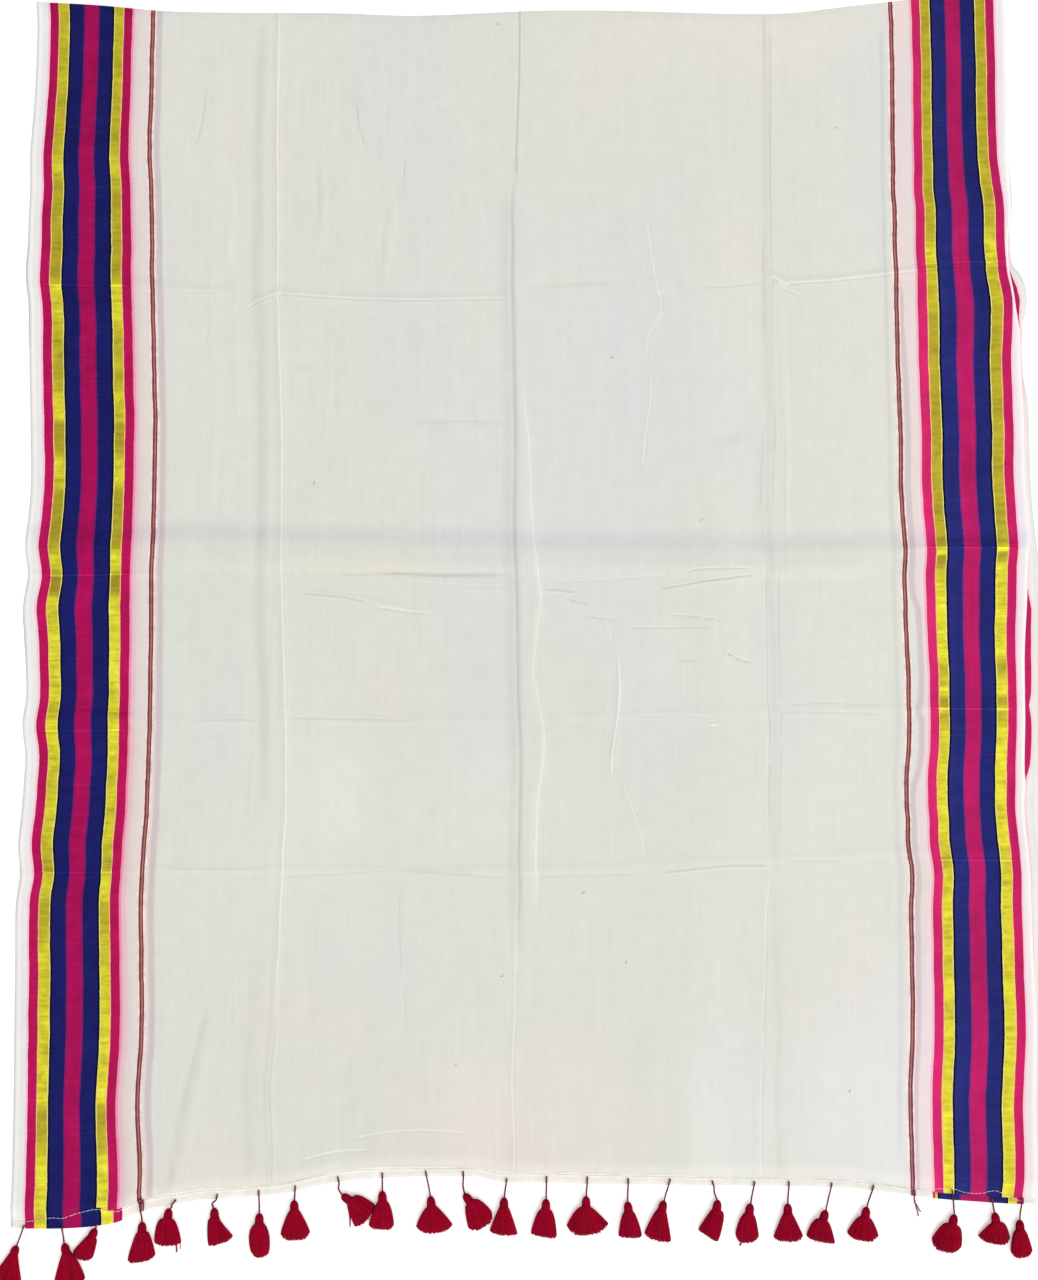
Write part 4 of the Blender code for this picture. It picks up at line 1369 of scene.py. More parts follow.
@dataclass
class PalluCloth:
    """The top layer: the saree's show end, from its hem up and round the upper fold."""
    layout: ClothLayout
    wall: float = 0.0005
    turn_steps: int = 8
    turn: float = 0.94
    fold_light: float = 0.32
    edge_light: float = 0.15
    edge_from: float = 0.566
    edge_run: float = 0.007

    def lay(self, column: float, row: float) -> LaidPoint:
        """Lays a point of the pallu.

        Args:
            column: Its line's place across, at the hem.
            row: Its place up; beyond the cloth's length it counts the steps of the upper fold.

        Returns:
            The point.
        """
        cloth = self.layout
        up = min(row, cloth.turn_start)
        across = column + cloth.slant.at(column) * up / cloth.length
        over = max(across - cloth.outer, 0.0) / cloth.selvedge
        x, y = cloth.spot(across - over * (cloth.selvedge - cloth.right_selvedge.at(up)), up)
        z = cloth.face(across, up)
        light, pink, cold = cloth.light(across, up)
        # painted light on the outer selvedge, lifting the shade of its droop
        light += self.edge_light * ease((abs(across) - self.edge_from) / self.edge_run)
        if row > cloth.length:
            angle = (row - cloth.length) / self.turn_steps * math.pi * self.turn
            lift = (z - cloth.pile - cloth.wall) * (1 + math.cos(angle)) / 2
            y += cloth.fold_radius * math.sin(angle)
            z = cloth.fold_radius * (1 + math.cos(angle)) + max(lift, 0)
            up += cloth.fold_radius * angle
            # painted light on the turn of the upper fold, lifting its shade
            light += self.fold_light * math.sin(min(angle, math.pi / 2))
        return LaidPoint(Vector((x, y, z)), across, up, cloth.lustre(across, up), light, pink,
                         cold, cloth.under(across, up), *cloth.sharp(across, up))

    def build(self, material: bpy.types.Material) -> bpy.types.Object:
        """Builds the pallu.

        Args:
            material: The cloth.

        Returns:
            The piece.
        """
        columns = lines_between(LEFT_EDGE, PALLU_COLUMNS)
        rows = lines_between(1.2, PALLU_ROWS)
        rows[-1] = self.layout.turn_start
        rows += [self.layout.length + step for step in range(1, self.turn_steps + 1)]
        piece = laid_sheet("pallu_cloth", columns, rows, self.lay, material, self.wall)
        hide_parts("pallu_panel")
        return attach(piece, "root")


@dataclass(frozen=True)
class HemStation:
    """A line of the hem strip, of a hem 14 mm wide: its distance up, its rise over the hem's face,
    how many screen levels of painted light it gets, painted shade below nought, and how much
    pinker it is."""
    up: float
    rise: float
    light: float = 0.0
    pink: float = 0.0


HEM_STATIONS = rows_of(HemStation, (
    (3.4, -2.35), (1.2, -2.3), (0.4, -1.9, -6, 3), (0.1, -1.2, -9, 5), (0.3, -0.6, -8, 5),
    (1, -0.15, -2, 2), (2.2, 0, 3), (4.6, 0.06, 2), (7, 0, -2, 1), (9, -0.05, 1), (11, -0.20, 3),
    (12.4, -0.40, 5), (13.4, -0.60, 10), (14, -0.74, 24),
))


@dataclass(frozen=True)
class HemWidth:
    """How wide the turned-up hem is at one place across, and how far its stripes are off."""
    across: float
    width: float
    shift: float


HEM_WIDTHS = rows_of(HemWidth, (
    (-575, 8, 0), (-545, 9.5, 0), (-522, 12, 0), (-505, 16, 1), (-487, 20, 3), (-478, 19, 5),
    (-470, 15, 6), (-455, 14, 6), (-430, 13, 3), (-390, 13, 1), (-322, 11.5, 0), (-277, 11, 0),
    (-200, 13, 0), (-142, 12, 0), (-97, 10.5, 0), (-60, 11, 0), (-20, 12, 0), (115, 11.5, 0),
    (195, 10.5, 0), (263, 10, 0), (353, 9.5, 0), (420, 8.5, 0), (458, 7, 1), (463, 6.5, -19),
    (470, 6.5, -19), (489, 6.5, -12), (521, 6, 3), (544, 6.5, 7), (556, 7, 2), (575, 6.5, 0),
))

STITCH_LINE = rows_of(EdgeRise, (
    (-575, 6), (-545, 9.5), (-531, 12), (-519, 11.5), (-503, 16), (-486, 18.6), (-476, 17),
    (-466, 13), (-450, 11.5), (-420, 11), (-322, 9.6), (-200, 11), (-97, 8.6), (0, 10), (200, 8.6),
    (353, 7.8), (440, 7.4), (462, 10), (480, 11.7), (496, 8.5), (512, 9), (528, 12.5), (540, 9),
    (555, 4), (575, 3),
))


@dataclass
class HemStrip:
    """The pallu's end, turned up on its face and puckered between the tassels' cords."""
    layout: ClothLayout
    wall: float = 0.0004
    rise: float = 0.0008
    full_width: float = 0.014
    flat_from: float = 8.0
    clear: float = 0.00012
    pitch: float = 3.6
    pucker: float = 0.0005
    pucker_waves: Ripple = Ripple(62, 90, 2)
    blotch: float = 7.0
    blotch_waves: Ripple = Ripple(75, 160, 4)
    waver: float = 0.0007
    waver_waves: Ripple = Ripple(26, 0, 5)
    lowest: float = 0.0006
    seen_below: float = 0.02

    def __post_init__(self) -> None:
        """Prepares the tables."""
        self.width = column_of(HEM_WIDTHS, "across", "width")
        self.turned = column_of(HEM_WIDTHS, "across", "shift")

    def top(self, across: float, up: float) -> float:
        """Returns the height of the hem's upper face."""
        wave = self.pucker * self.pucker_waves.at(across, up)
        return self.layout.face(across, up) + self.rise + wave

    def wavy_width(self, across: float) -> float:
        """Returns the hem's width at a place across, a little uneven."""
        return self.width.at(across) + self.waver * self.waver_waves.at(across, 0)

    def lay(self, column: float, row: float) -> LaidPoint:
        """Lays a point of the hem.

        Args:
            column: Its place across.
            row: The number of its station.

        Returns:
            The point.
        """
        station = HEM_STATIONS[round(row)]
        up = station.up * MM * self.wavy_width(column) / self.full_width
        x, y = self.layout.spot(column, up)
        z = self.top(column, up) + station.rise * MM
        if station.up > self.flat_from:
            z = max(z, self.layout.face(column, up) + self.clear)
        z = max(z, self.lowest)
        lit = self.layout.lustre(column, up - self.seen_below)
        # the stations' light is painted light and shade along the hem's edges; the blotches are
        # the cloth's uneven tone
        cloudy = self.blotch * self.blotch_waves.at(column, up)
        return LaidPoint(Vector((x, y, z)), column - self.turned.straight(column), up, lit,
                         (station.light + cloudy) * self.layout.level,
                         station.pink * self.layout.level)

    def build(self, material: bpy.types.Material) -> bpy.types.Object:
        """Builds the hem strip.

        Args:
            material: The hem's cloth.

        Returns:
            The piece.
        """
        columns = lines_between(LEFT_EDGE, [Bay(575, self.pitch)])
        rows = list(range(len(HEM_STATIONS)))
        piece = laid_sheet("pallu_hem_cloth", columns, rows, self.lay, material, self.wall)
        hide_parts("pallu_hem")
        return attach(piece, "root")


class ThreadBundle:
    """A mesh that threads are added to, each a closed thin tube along its own line."""

    def __init__(self) -> None:
        """Starts an empty bundle."""
        self.bm = bmesh.new()
        self.tone = self.bm.verts.layers.float.new("tone")
        self.blanks: dict[tuple[int, int], bpy.types.Mesh] = {}

    def blank(self, sides: int, rings: int) -> bpy.types.Mesh:
        """Makes the straight closed tube that a thread is bent from.

        Args:
            sides: How many sides it has.
            rings: How many rings of points it has along it.

        Returns:
            The tube, one long, its height the share of the way along.
        """
        key = (sides, rings)
        if key not in self.blanks:
            bm = bmesh.new()
            bmesh.ops.create_cone(bm, cap_ends=True, segments=sides, radius1=1, radius2=1, depth=1)
            bmesh.ops.translate(bm, verts=bm.verts, vec=(0, 0, 0.5))
            long_edges = [edge for edge in bm.edges
                          if abs(edge.verts[0].co.z - edge.verts[1].co.z) > 0.5]
            bmesh.ops.subdivide_edges(bm, edges=long_edges, cuts=rings - 2)
            mesh = bpy.data.meshes.new("blank_thread")
            bm.to_mesh(mesh)
            bm.free()
            self.blanks[key] = mesh
        return self.blanks[key]

    def tube(self, sides: int, rings: int) -> list[tuple[bmesh.types.BMVert, int]]:
        """Adds a straight closed tube.

        Args:
            sides: How many sides it has.
            rings: How many rings of points it has along it.

        Returns:
            Its points, each with the number of its ring.
        """
        before = len(self.bm.verts)
        self.bm.from_mesh(self.blank(sides, rings))
        self.bm.verts.ensure_lookup_table()
        return [(vert, round(vert.co.z * (rings - 1))) for vert in self.bm.verts[before:]]

    def add(self, line: Sequence[Vector], radii: Sequence[float], sides: int = 4,
            tone: float = 0.5, material: int = 0) -> None:
        """Adds a thread.

        Args:
            line: The points along its middle.
            radii: Its radius at each.
            sides: How many sides it has.
            tone: How light its dye is, 0 to 1.
            material: The number of its material.
        """
        before = len(self.bm.faces)
        frames = self.frames_along(line)
        for vert, ring in self.tube(sides, len(line)):
            side, over = frames[ring]
            offset = side * vert.co.x + over * vert.co.y
            vert.co = line[ring] + offset * radii[ring]
            vert[self.tone] = tone
        self.bm.faces.ensure_lookup_table()
        for face in self.bm.faces[before:]:
            face.material_index = material

    @staticmethod
    def frames_along(line: Sequence[Vector]) -> list[tuple[Vector, Vector]]:
        """Gives the two directions square to a line at each of its points.

        Args:
            line: The points.

        Returns:
            A side and an over direction for each point.
        """
        frames = []
        last = len(line) - 1
        for index in range(last + 1):
            way = (line[min(index + 1, last)] - line[max(index - 1, 0)]).normalized()
            if frames:
                side = (frames[-1][0] - way * frames[-1][0].dot(way)).normalized()
            else:
                start = UP if abs(way.z) < 0.9 else Vector((1, 0, 0))
                side = start.cross(way).normalized()
            frames.append((side, way.cross(side)))
        return frames

    def build(self, name: str, materials: Sequence[bpy.types.Material]) -> bpy.types.Object:
        """Turns the bundle into an object.

        Args:
            name: The piece's name.
            materials: Its materials.

        Returns:
            The piece.
        """
        for mesh in self.blanks.values():
            bpy.data.meshes.remove(mesh)
        bmesh.ops.recalc_face_normals(self.bm, faces=self.bm.faces)
        return put_in_scene(name, self.bm, materials)


@dataclass
class HemStitches:
    """The running stitches that hold the hem down, white thread on the cloth."""
    layout: ClothLayout
    hem: HemStrip
    stitch: float = 0.0043
    step: float = 0.0046
    radius: float = 0.00027
    margin: float = 0.008
    stray: float = 0.0002
    sunk: float = 0.0001
    proud: float = 0.0002

    def __post_init__(self) -> None:
        """Prepares the table."""
        self.line = column_of(STITCH_LINE, "across", "rise")

    def face(self, across: float, up: float) -> float:
        """Returns the height of the hem's face, or of the pallu's above the hem."""
        if up < self.hem.wavy_width(across):
            return self.hem.top(across, up)
        return self.layout.face(across, up)

    def build(self, material: bpy.types.Material) -> bpy.types.Object:
        """Builds the stitches.

        Args:
            material: The thread.

        Returns:
            The piece.
        """
        bundle = ThreadBundle()
        luck = random.Random(5)
        across = -self.layout.half + self.margin
        while across < self.layout.half - self.margin:
            stop = across + self.stitch * luck.uniform(0.85, 1.15)
            line = []
            for share in (0.0, 0.25, 0.75, 1.0):
                place = mix(across, stop, share)
                up = self.line.at(place) + luck.uniform(-self.stray, self.stray)
                above = -self.sunk if share in (0.0, 1.0) else self.proud
                x, y = self.layout.spot(place, up)
                line.append(Vector((x, y, self.face(place, up) + above)))
            bundle.add(line, [self.radius * 0.6, self.radius, self.radius, self.radius * 0.6],
                       tone=luck.uniform(0.4, 1.0))
            across += self.step
        piece = bundle.build("hem_stitches", [material])
        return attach(piece, "root")


@dataclass
class UnderLayer:
    """One of the three layers of the length that lie under the pallu."""
    layout: ClothLayout
    name: str
    order: int
    column: str
    lower_end: float
    shift: float
    wall: float = 0.0005
    clear: float = 0.0001
    droop: float = 0.0006
    droop_reach: float = 0.010
    peek_from: float = 0.06
    peek_run: float = 0.10
    short: float = 0.0022
    columns: Sequence[Bay] = (Bay(-520, 7), Bay(-430, 15), Bay(430, 57), Bay(520, 15), Bay(575, 7))

    def __post_init__(self) -> None:
        """Prepares the tables and the droop's pattern."""
        self.left = column_of(PEEKS, "up", "left_" + self.column)
        self.right = column_of(PEEKS, "up", "right_" + self.column)
        self.droop_waves = Ripple(4, 9, self.order + 1)

    def lay(self, column: float, row: float) -> LaidPoint:
        """Lays a point of the layer.

        Args:
            column: Its place across its own width.
            row: Its place up.

        Returns:
            The point.
        """
        cloth = self.layout
        share = ease((abs(column) - cloth.inner + self.peek_from) / self.peek_run)
        peek = (-self.left.at(row) if column < 0 else self.right.at(row)) * share
        x, y = cloth.spot(column + peek, row)
        edge = 1 - ease((cloth.half - abs(column)) / self.droop_reach)
        wave = 0.5 + 0.5 * self.droop_waves.at(column, row)
        z = (self.order + 1) * cloth.layer - self.clear - self.droop * edge * wave
        across = column + peek - self.shift * cloth.under(column, row)
        return LaidPoint(Vector((x, y, z)), across, row, cloth.lustre(column, row))

    def build(self, material: bpy.types.Material) -> bpy.types.Object:
        """Builds the layer.

        Args:
            material: The cloth.

        Returns:
            The piece.
        """
        columns = lines_between(LEFT_EDGE, self.columns)
        start = self.lower_end / MM
        stop = (self.layout.turn_start - self.short) / MM
        rows = lines_between(start, [Bay(984, 14), Bay(1024, 4), Bay(stop, 14)])
        piece = laid_sheet(self.name, columns, rows, self.lay, material, self.wall)
        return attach(piece, "root")


@dataclass(frozen=True)
class TasselRow:
    """One tassel as it lies: its cord's root on the hem, its head's top and its skirt's two sides.

    side and drop lead from the root to the head's top, to the right and down. The places are the
    sides' middles and ends beside the head's top. bow is how far the end bulges, and sway how far
    the cord's middle lies to the right of a straight line.
    """
    across: float
    inset: float
    side: float
    drop: float
    left_middle: Place
    left_end: Place
    right_middle: Place
    right_end: Place
    bow: float
    sway: float = 0.0


TASSELS = rows_of(TasselRow, (
    (-560, 3, -7.5, 21, (-16, 20), (-30, 37), (3, 22), (6, 42), 4),
    (-519, 0.8, 2.8, 16.5, (-4.5, 20), (-11, 45), (16, 20), (24, 38), 5),
    (-482, 1, -1, 3.5, (-13, 12), (-25, 25), (1.5, 14), (-3, 32), 6),
    (-435, 10, 3.4, 20.5, (-9, 19), (-16, 42), (9, 15), (15, 36), 5),
    (-395, 4.6, -6.7, 8.5, (-13, 17), (-16, 37), (9, 18), (14, 37), 4, 1.5),
    (-348, 4, -2.8, 13.5, (-7, 18), (-6.5, 40), (9, 17), (21, 31), 4, -3.5),
    (-301, 5, 1, 23.5, (-11, 23), (-9, 42), (11, 23), (11, 42), 6),
    (-260, 4.7, -1, 14.5, (-9, 19), (-15, 37), (10, 18), (18, 35), 8),
    (-212, 5, 4.6, 18.5, (8, 18), (15, 35), (21, 1), (37, 11), 5, -2.3),
    (-162, 4.8, 0, 18.5, (-9, 20), (-15, 37), (10, 20), (13, 38), 5),
    (-113, 5, 5.3, 26, (-10, 20), (-16, 34), (14, 18), (25, 31), 8),
    (-71, 4.6, 1.3, 23, (1.5, 19), (5, 38), (19, 8), (31, 20), 9, -1),
    (-22, 3.8, -2.8, 19.5, (-9, 19), (-16, 37), (8, 19), (15, 40), 3),
    (23, 6.2, -0.5, 23.5, (-11, 18), (-17, 37), (9, 20), (12, 41), 3),
    (69, 6.8, -1.4, 20, (-13, 17), (-22, 33), (12, 17), (25, 30), 11),
    (115, 5.6, -1, 24, (-7, 19), (-10, 37), (11, 20), (16, 37), 3),
    (162, 5.6, -6.9, 22.5, (-14, 19), (-22, 36), (4, 21), (8, 44), 4),
    (210, 4.1, 5.7, 19.5, (-12, 17), (-22, 32), (6, 20), (0, 45), 2, -1.5),
    (257, 4, -4.5, 23, (-13, 19), (-17, 34), (6, 19), (9, 36), 8),
    (296, 4.5, -1.8, 23, (-9, 19), (-16, 36), (9, 19), (17, 36), 6),
    (344, 3.5, -6.9, 28.5, (-15, 13), (-22, 28), (5, 18), (10, 36), 3),
    (391, 4.8, -7.9, 22.5, (-13, 14), (-22, 27), (7, 17), (13, 32), 8),
    (480, 9, 1.8, 25, (-15, 12), (-26, 27), (7, 18), (7, 36), 10),
    (524, 4.2, 2.8, 15, (-9, 15), (-19, 25), (12, 14), (17, 29), 8),
    (558, 4.8, -3.4, 22, (-8, 18), (-10, 35), (9, 18), (14, 34), 7),
))


@dataclass(frozen=True)
class HeadRing:
    """A ring of a tassel's head: its distance along the head and its radius."""
    along: float
    radius: float


HEAD_RINGS = rows_of(HeadRing, (
    (0, 1.3), (1.2, 2.8), (3, 3.9), (5.2, 4.5), (7.4, 4.6), (9, 4.5), (10.2, 4.8), (11.4, 5.4),
))


@dataclass(frozen=True)
class SkirtRing:
    """A ring of a tassel's skirt: its share of the way down, and half its height."""
    share: float
    thick: float


SKIRT_RINGS = rows_of(SkirtRing, (
    (0.16, 4.2), (0.36, 4.1), (0.58, 3.7), (0.80, 3.1), (0.93, 2.6), (1, 2),
))


@dataclass(frozen=True)
class StrayThread:
    """A thread that has strayed from a skirt: where it starts and ends beside the head."""
    tassel: int
    start: Place
    end: Place


STRAY_THREADS = rows_of(StrayThread, (
    (5, (7, -38), (8, -49)), (5, (8, -38), (9, -48)), (5, (12, -37), (12.5, -45)),
    (9, (6, -11), (9, -37)), (9, (7, -12), (9.5, -34)), (19, (-12, -40), (-12, -47)),
    (19, (-11, -40), (-13, -46)), (19, (-10, -40), (-11.5, -46)),
))


@dataclass
class TasselPiece:
    """A tassel: a twisted cord from the hem, a bound head and a skirt of loose threads."""
    layout: ClothLayout
    number: int
    row: TasselRow
    floor: float = 0.0003
    head_radius: float = 0.0042
    cord_radius: float = 0.0010
    ply_radius: float = 0.00062
    twist: float = 0.0034
    sag: float = 0.0012
    strand_radius: float = 0.00046
    strands: int = 128
    core_sides: int = 24
    core_share: float = 0.90
    uneven: float = 0.016
    phase: float = 3.1
    knotted: int = 4
    hem_top: float = 0.0018
    tie_turns: float = 2.6
    tie_from: float = 8.4
    tie_to: float = 9.9
    tie_radius: float = 0.0046
    tie_thick: float = 0.00045
    tie_steps: int = 36
    tie_wave: float = 0.00012
    tie_tone: float = 0.15
    core_short: float = 0.0012
    core_tone: float = 0.35
    lobes: int = 7
    lobe: float = 0.04
    knot_from: int = 6
    knot_turns: float = 1.7
    knot_steps: int = 21
    knot_reach: float = 0.0026
    knot_closing: float = 0.0006
    stray_height: float = 0.003
    stray_tone: float = 0.6
    cord_steps: int = 8

    def __post_init__(self) -> None:
        """Works out where the tassel's neck, way and skirt are."""
        x, y = self.layout.spot(self.row.across * MM, self.row.inset * MM)
        self.neck = Vector((x + self.row.side * MM, y - self.row.drop * MM,
                            self.head_radius + self.floor))
        middle = self.beside(self.row.left_middle).lerp(self.beside(self.row.right_middle), 0.5)
        self.way = (middle - self.neck).normalized()
        self.side = Vector((-self.way.y, self.way.x, 0))
        self.luck = random.Random(100 + self.number)
        self.bundle = ThreadBundle()

    def beside(self, place: Place) -> Vector:
        """Returns a place given in millimetres to the right and down from the head's top."""
        return self.neck + Vector((place[0], -place[1], 0)) * MM

    def side_line(self, sign: int, share: float) -> Vector:
        """Gives a place on one side of the skirt.

        Args:
            sign: 1 for the right side and -1 for the left.
            share: How far down the side, 0 to 1.

        Returns:
            The place, on a smooth line through the head's end and the side's middle and end.
        """
        last = HEAD_RINGS[-1]
        start = self.neck + (self.way * last.along + self.side * last.radius * sign) * MM
        row = self.row
        middle, end = ((row.right_middle, row.right_end) if sign > 0
                       else (row.left_middle, row.left_end))
        return (start * 2 * (share - 0.5) * (share - 1)
                - self.beside(middle) * 4 * share * (share - 1)
                + self.beside(end) * 2 * share * (share - 0.5))

    def ring_point(self, ring: int, angle: float, share: float) -> Vector:
        """Gives a place on or in the tassel.

        Args:
            ring: The number of the ring, the head's first and then the skirt's.
            angle: The angle round it.
            share: How far out from the middle, 1 at the outside.

        Returns:
            The place.
        """
        if ring < len(HEAD_RINGS):
            head = HEAD_RINGS[ring]
            middle = self.neck + self.way * head.along * MM
            out = self.side * math.cos(angle) + UP * math.sin(angle)
            return middle + out * head.radius * MM * share
        skirt = SKIRT_RINGS[ring - len(HEAD_RINGS)]
        left, right = self.side_line(-1, skirt.share), self.side_line(1, skirt.share)
        place = left.lerp(right, 0.5 + 0.5 * share * math.cos(angle))
        bulge = self.row.bow * MM * (1 - math.cos(angle) ** 4)
        bulge += self.uneven * 0.03 * math.sin(self.phase * self.number + 3 * angle)
        place += self.way * bulge * skirt.share ** 2
        high = skirt.thick * MM
        place.z = self.floor + high * (1 + share * math.sin(angle))
        return place

    def rings(self) -> int:
        """Returns how many rings the tassel has."""
        return len(HEAD_RINGS) + len(SKIRT_RINGS)

    def add_core(self) -> None:
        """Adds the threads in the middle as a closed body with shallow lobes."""
        rings = self.rings()
        for vert, ring in self.bundle.tube(self.core_sides, rings):
            angle = math.atan2(vert.co.y, vert.co.x)
            lobe = 1 + self.lobe * math.sin(self.lobes * angle + self.number)
            place = self.ring_point(ring, angle, self.core_share * lobe)
            if ring == rings - 1:
                place -= self.way * self.core_short
            vert.co = place
            vert[self.bundle.tone] = self.core_tone

    def add_strands(self) -> None:
        """Adds the loose threads over the core, from the head's top to the skirt's end."""
        rings = self.rings()
        for strand in range(self.strands):
            angle = math.tau * (strand + self.luck.uniform(-0.45, 0.45)) / self.strands
            depth = self.luck.uniform(0.95, 1.0)
            drift = self.luck.gauss(0, 0.06)
            short = self.luck.uniform(0.0, 0.0005) if self.luck.random() > 0.04 else -0.0007
            line = []
            for ring in range(rings):
                loose = max(0, ring - len(HEAD_RINGS) + 1) / len(SKIRT_RINGS)
                turned = angle + drift * loose
                place = self.ring_point(ring, turned, depth)
                if ring == rings - 1:
                    place -= self.way * short
                place.z = max(place.z, self.floor + self.strand_radius)
                line.append(place)
            radii = [self.strand_radius * 0.8] * len(HEAD_RINGS)
            radii += [self.strand_radius * (1 + 0.5 * step) for step in (0.2, 0.5, 0.8, 1.0, 0.8)]
            radii += [self.strand_radius * 0.6]
            self.bundle.add(line, radii, tone=self.luck.uniform(0.3, 0.8))

    def add_cord(self) -> None:
        """Adds the cord: two plies twisted together, from the hem over its edge to the head."""
        for line in twisted(self.cord_line(), self.ply_radius * 0.85, self.twist):
            self.bundle.add(line, [self.ply_radius] * len(line), sides=5,
                            tone=self.luck.uniform(0.3, 0.7), material=1)

    def cord_line(self) -> list[Vector]:
        """Returns the middle line of the cord, on the hem, over its edge and down to the head."""
        inset = self.row.inset * MM
        across = self.row.across * MM
        clear, hem_top = self.cord_radius, self.hem_top
        root = self.layout.on_face(across, inset, hem_top + clear * 0.7)
        edge = root.lerp(self.neck, (inset + 0.0003) / (root.y - self.neck.y))
        edge.z = self.layout.face(across, 0) + hem_top + clear
        middle = edge.lerp(self.neck, 0.5) + Vector((self.row.sway * MM, 0, -self.sag))
        start = root + (root - edge).normalized() * 0.001 - UP * 0.0012
        end = self.neck + self.way * 0.001
        return smooth_line([start, root, edge, middle, end], self.cord_steps)

    def add_knot(self) -> None:
        """Adds the loop that one cord has been knotted with at its root."""
        centre = self.cord_line()[self.knot_from] + Vector((0.0014, 0.0010, 0.0006))
        line = []
        for step in range(self.knot_steps + 1):
            angle = step / self.knot_steps * self.knot_turns * math.tau
            reach = self.knot_reach - self.knot_closing * step / self.knot_steps
            line.append(centre + Vector((math.cos(angle) * reach, math.sin(angle) * reach * 1.4,
                                         0.0003 * math.sin(angle * 1.5))))
        self.bundle.add(line, [self.ply_radius] * len(line), sides=5, tone=0.3, material=1)

    def add_tie(self) -> None:
        """Adds the thread that binds the head, wound round its neck."""
        line = []
        for step in range(self.tie_steps + 1):
            share = step / self.tie_steps
            angle = share * self.tie_turns * math.tau + self.number
            along = mix(self.tie_from, self.tie_to, share) * MM
            radius = self.tie_radius + self.tie_wave * math.sin(3 * angle)
            centre = self.neck + self.way * along
            line.append(centre + (self.side * math.cos(angle) + UP * math.sin(angle)) * radius)
        self.bundle.add(line, [self.tie_thick] * len(line), tone=self.tie_tone)

    def add_strays(self) -> None:
        """Adds the threads that have strayed from the skirt."""
        for stray in STRAY_THREADS:
            if stray.tassel == self.number:
                start = self.neck + Vector((stray.start[0] * MM, stray.start[1] * MM, 0))
                end = self.neck + Vector((stray.end[0] * MM, stray.end[1] * MM, 0))
                start.z = self.stray_height
                end.z = self.floor + self.strand_radius
                bend = start.lerp(end, 0.5) + Vector((0.0008, 0, -0.0006))
                line = smooth_line([start, bend, end], 4)
                self.bundle.add(line, [self.strand_radius] * len(line), tone=self.stray_tone)

    def build(self, materials: Sequence[bpy.types.Material]) -> bpy.types.Object:
        """Builds the tassel.

        Args:
            materials: The tassel's thread and the cord's.

        Returns:
            The piece.
        """
        for add in (self.add_core, self.add_strands, self.add_tie, self.add_strays, self.add_cord):
            add()
        if self.number == self.knotted:
            self.add_knot()
        piece = self.bundle.build(f"tassel_threads_{self.number:02d}", materials)
        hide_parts(f"tassel_{self.number:02d}")
        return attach(piece, "root")


def smooth_line(points: Sequence[Vector], cuts: int) -> list[Vector]:
    """Draws a smooth line through points.

    Args:
        points: The points.
        cuts: How many steps each stretch between two points has.

    Returns:
        The line's points.
    """
    line = []
    last = len(points) - 1
    for index in range(last):
        a, b, c, d = (points[min(max(index + step, 0), last)] for step in (-1, 0, 1, 2))
        for step in range(cuts):
            t = step / cuts
            line.append(0.5 * ((2 * b) + (c - a) * t + (2 * a - 5 * b + 4 * c - d) * t * t
                               + (3 * b - a - 3 * c + d) * t * t * t))
    line.append(points[-1].copy())
    return line


def twisted(line: Sequence[Vector], offset: float, lay: float) -> list[list[Vector]]:
    """Twists two plies round a line.

    Args:
        line: The cord's middle line.
        offset: How far each ply is from it.
        lay: The length of one full turn.

    Returns:
        The two plies' lines.
    """
    dense = smooth_line(line, 2)
    frames = ThreadBundle.frames_along(dense)
    gone = 0.0
    plies: list[list[Vector]] = [[], []]
    for index, (point, (side, over)) in enumerate(zip(dense, frames)):
        if index:
            gone += (point - dense[index - 1]).length
        angle = gone / lay * math.tau
        off = (side * math.cos(angle) + over * math.sin(angle)) * offset
        plies[0].append(point + off)
        plies[1].append(point - off)
    return plies


@dataclass
class BrokenCord:
    """The cord that has lost its tassel and parts into two thread ends."""
    layout: ClothLayout
    across: float = 0.4368
    inset: float = 0.006
    split: float = 0.011
    split_height: float = 0.0044
    radius: float = 0.00075
    root_above: float = 0.0024
    edge_above: float = 0.0026
    ends: tuple[Place, ...] = ((4.6, 29), (8, 24))

    def build(self, material: bpy.types.Material) -> bpy.types.Object:
        """Builds the cord.

        Args:
            material: The cord's thread.

        Returns:
            The piece.
        """
        x, y = self.layout.spot(self.across, self.inset)
        root = self.layout.on_face(self.across, self.inset, self.root_above)
        edge = Vector((x, y - self.inset, self.layout.face(self.across, 0) + self.edge_above))
        parting = Vector((x, y - self.split, self.split_height))
        bundle = ThreadBundle()
        for order, end in enumerate(self.ends):
            tip = Vector((x + end[0] * MM, y - end[1] * MM, 0.0003 + self.radius))
            middle = parting.lerp(tip, 0.5) + Vector((0.0006 * (1 - 2 * order), 0, -0.0006))
            line = smooth_line([root - UP * 0.001, root, edge, parting, middle, tip], 5)
            sway = [Vector((math.sin(index * 0.9 + order * math.pi), 0, 0)) * 0.0004
                    for index in range(len(line))]
            line = [point + off for point, off in zip(line, sway)]
            bundle.add(line, [self.radius] * (len(line) - 1) + [self.radius * 0.6], sides=5,
                       tone=0.4 + 0.3 * order)
        piece = bundle.build("broken_cord_threads", [material])
        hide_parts("broken_cord")
        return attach(piece, "root")


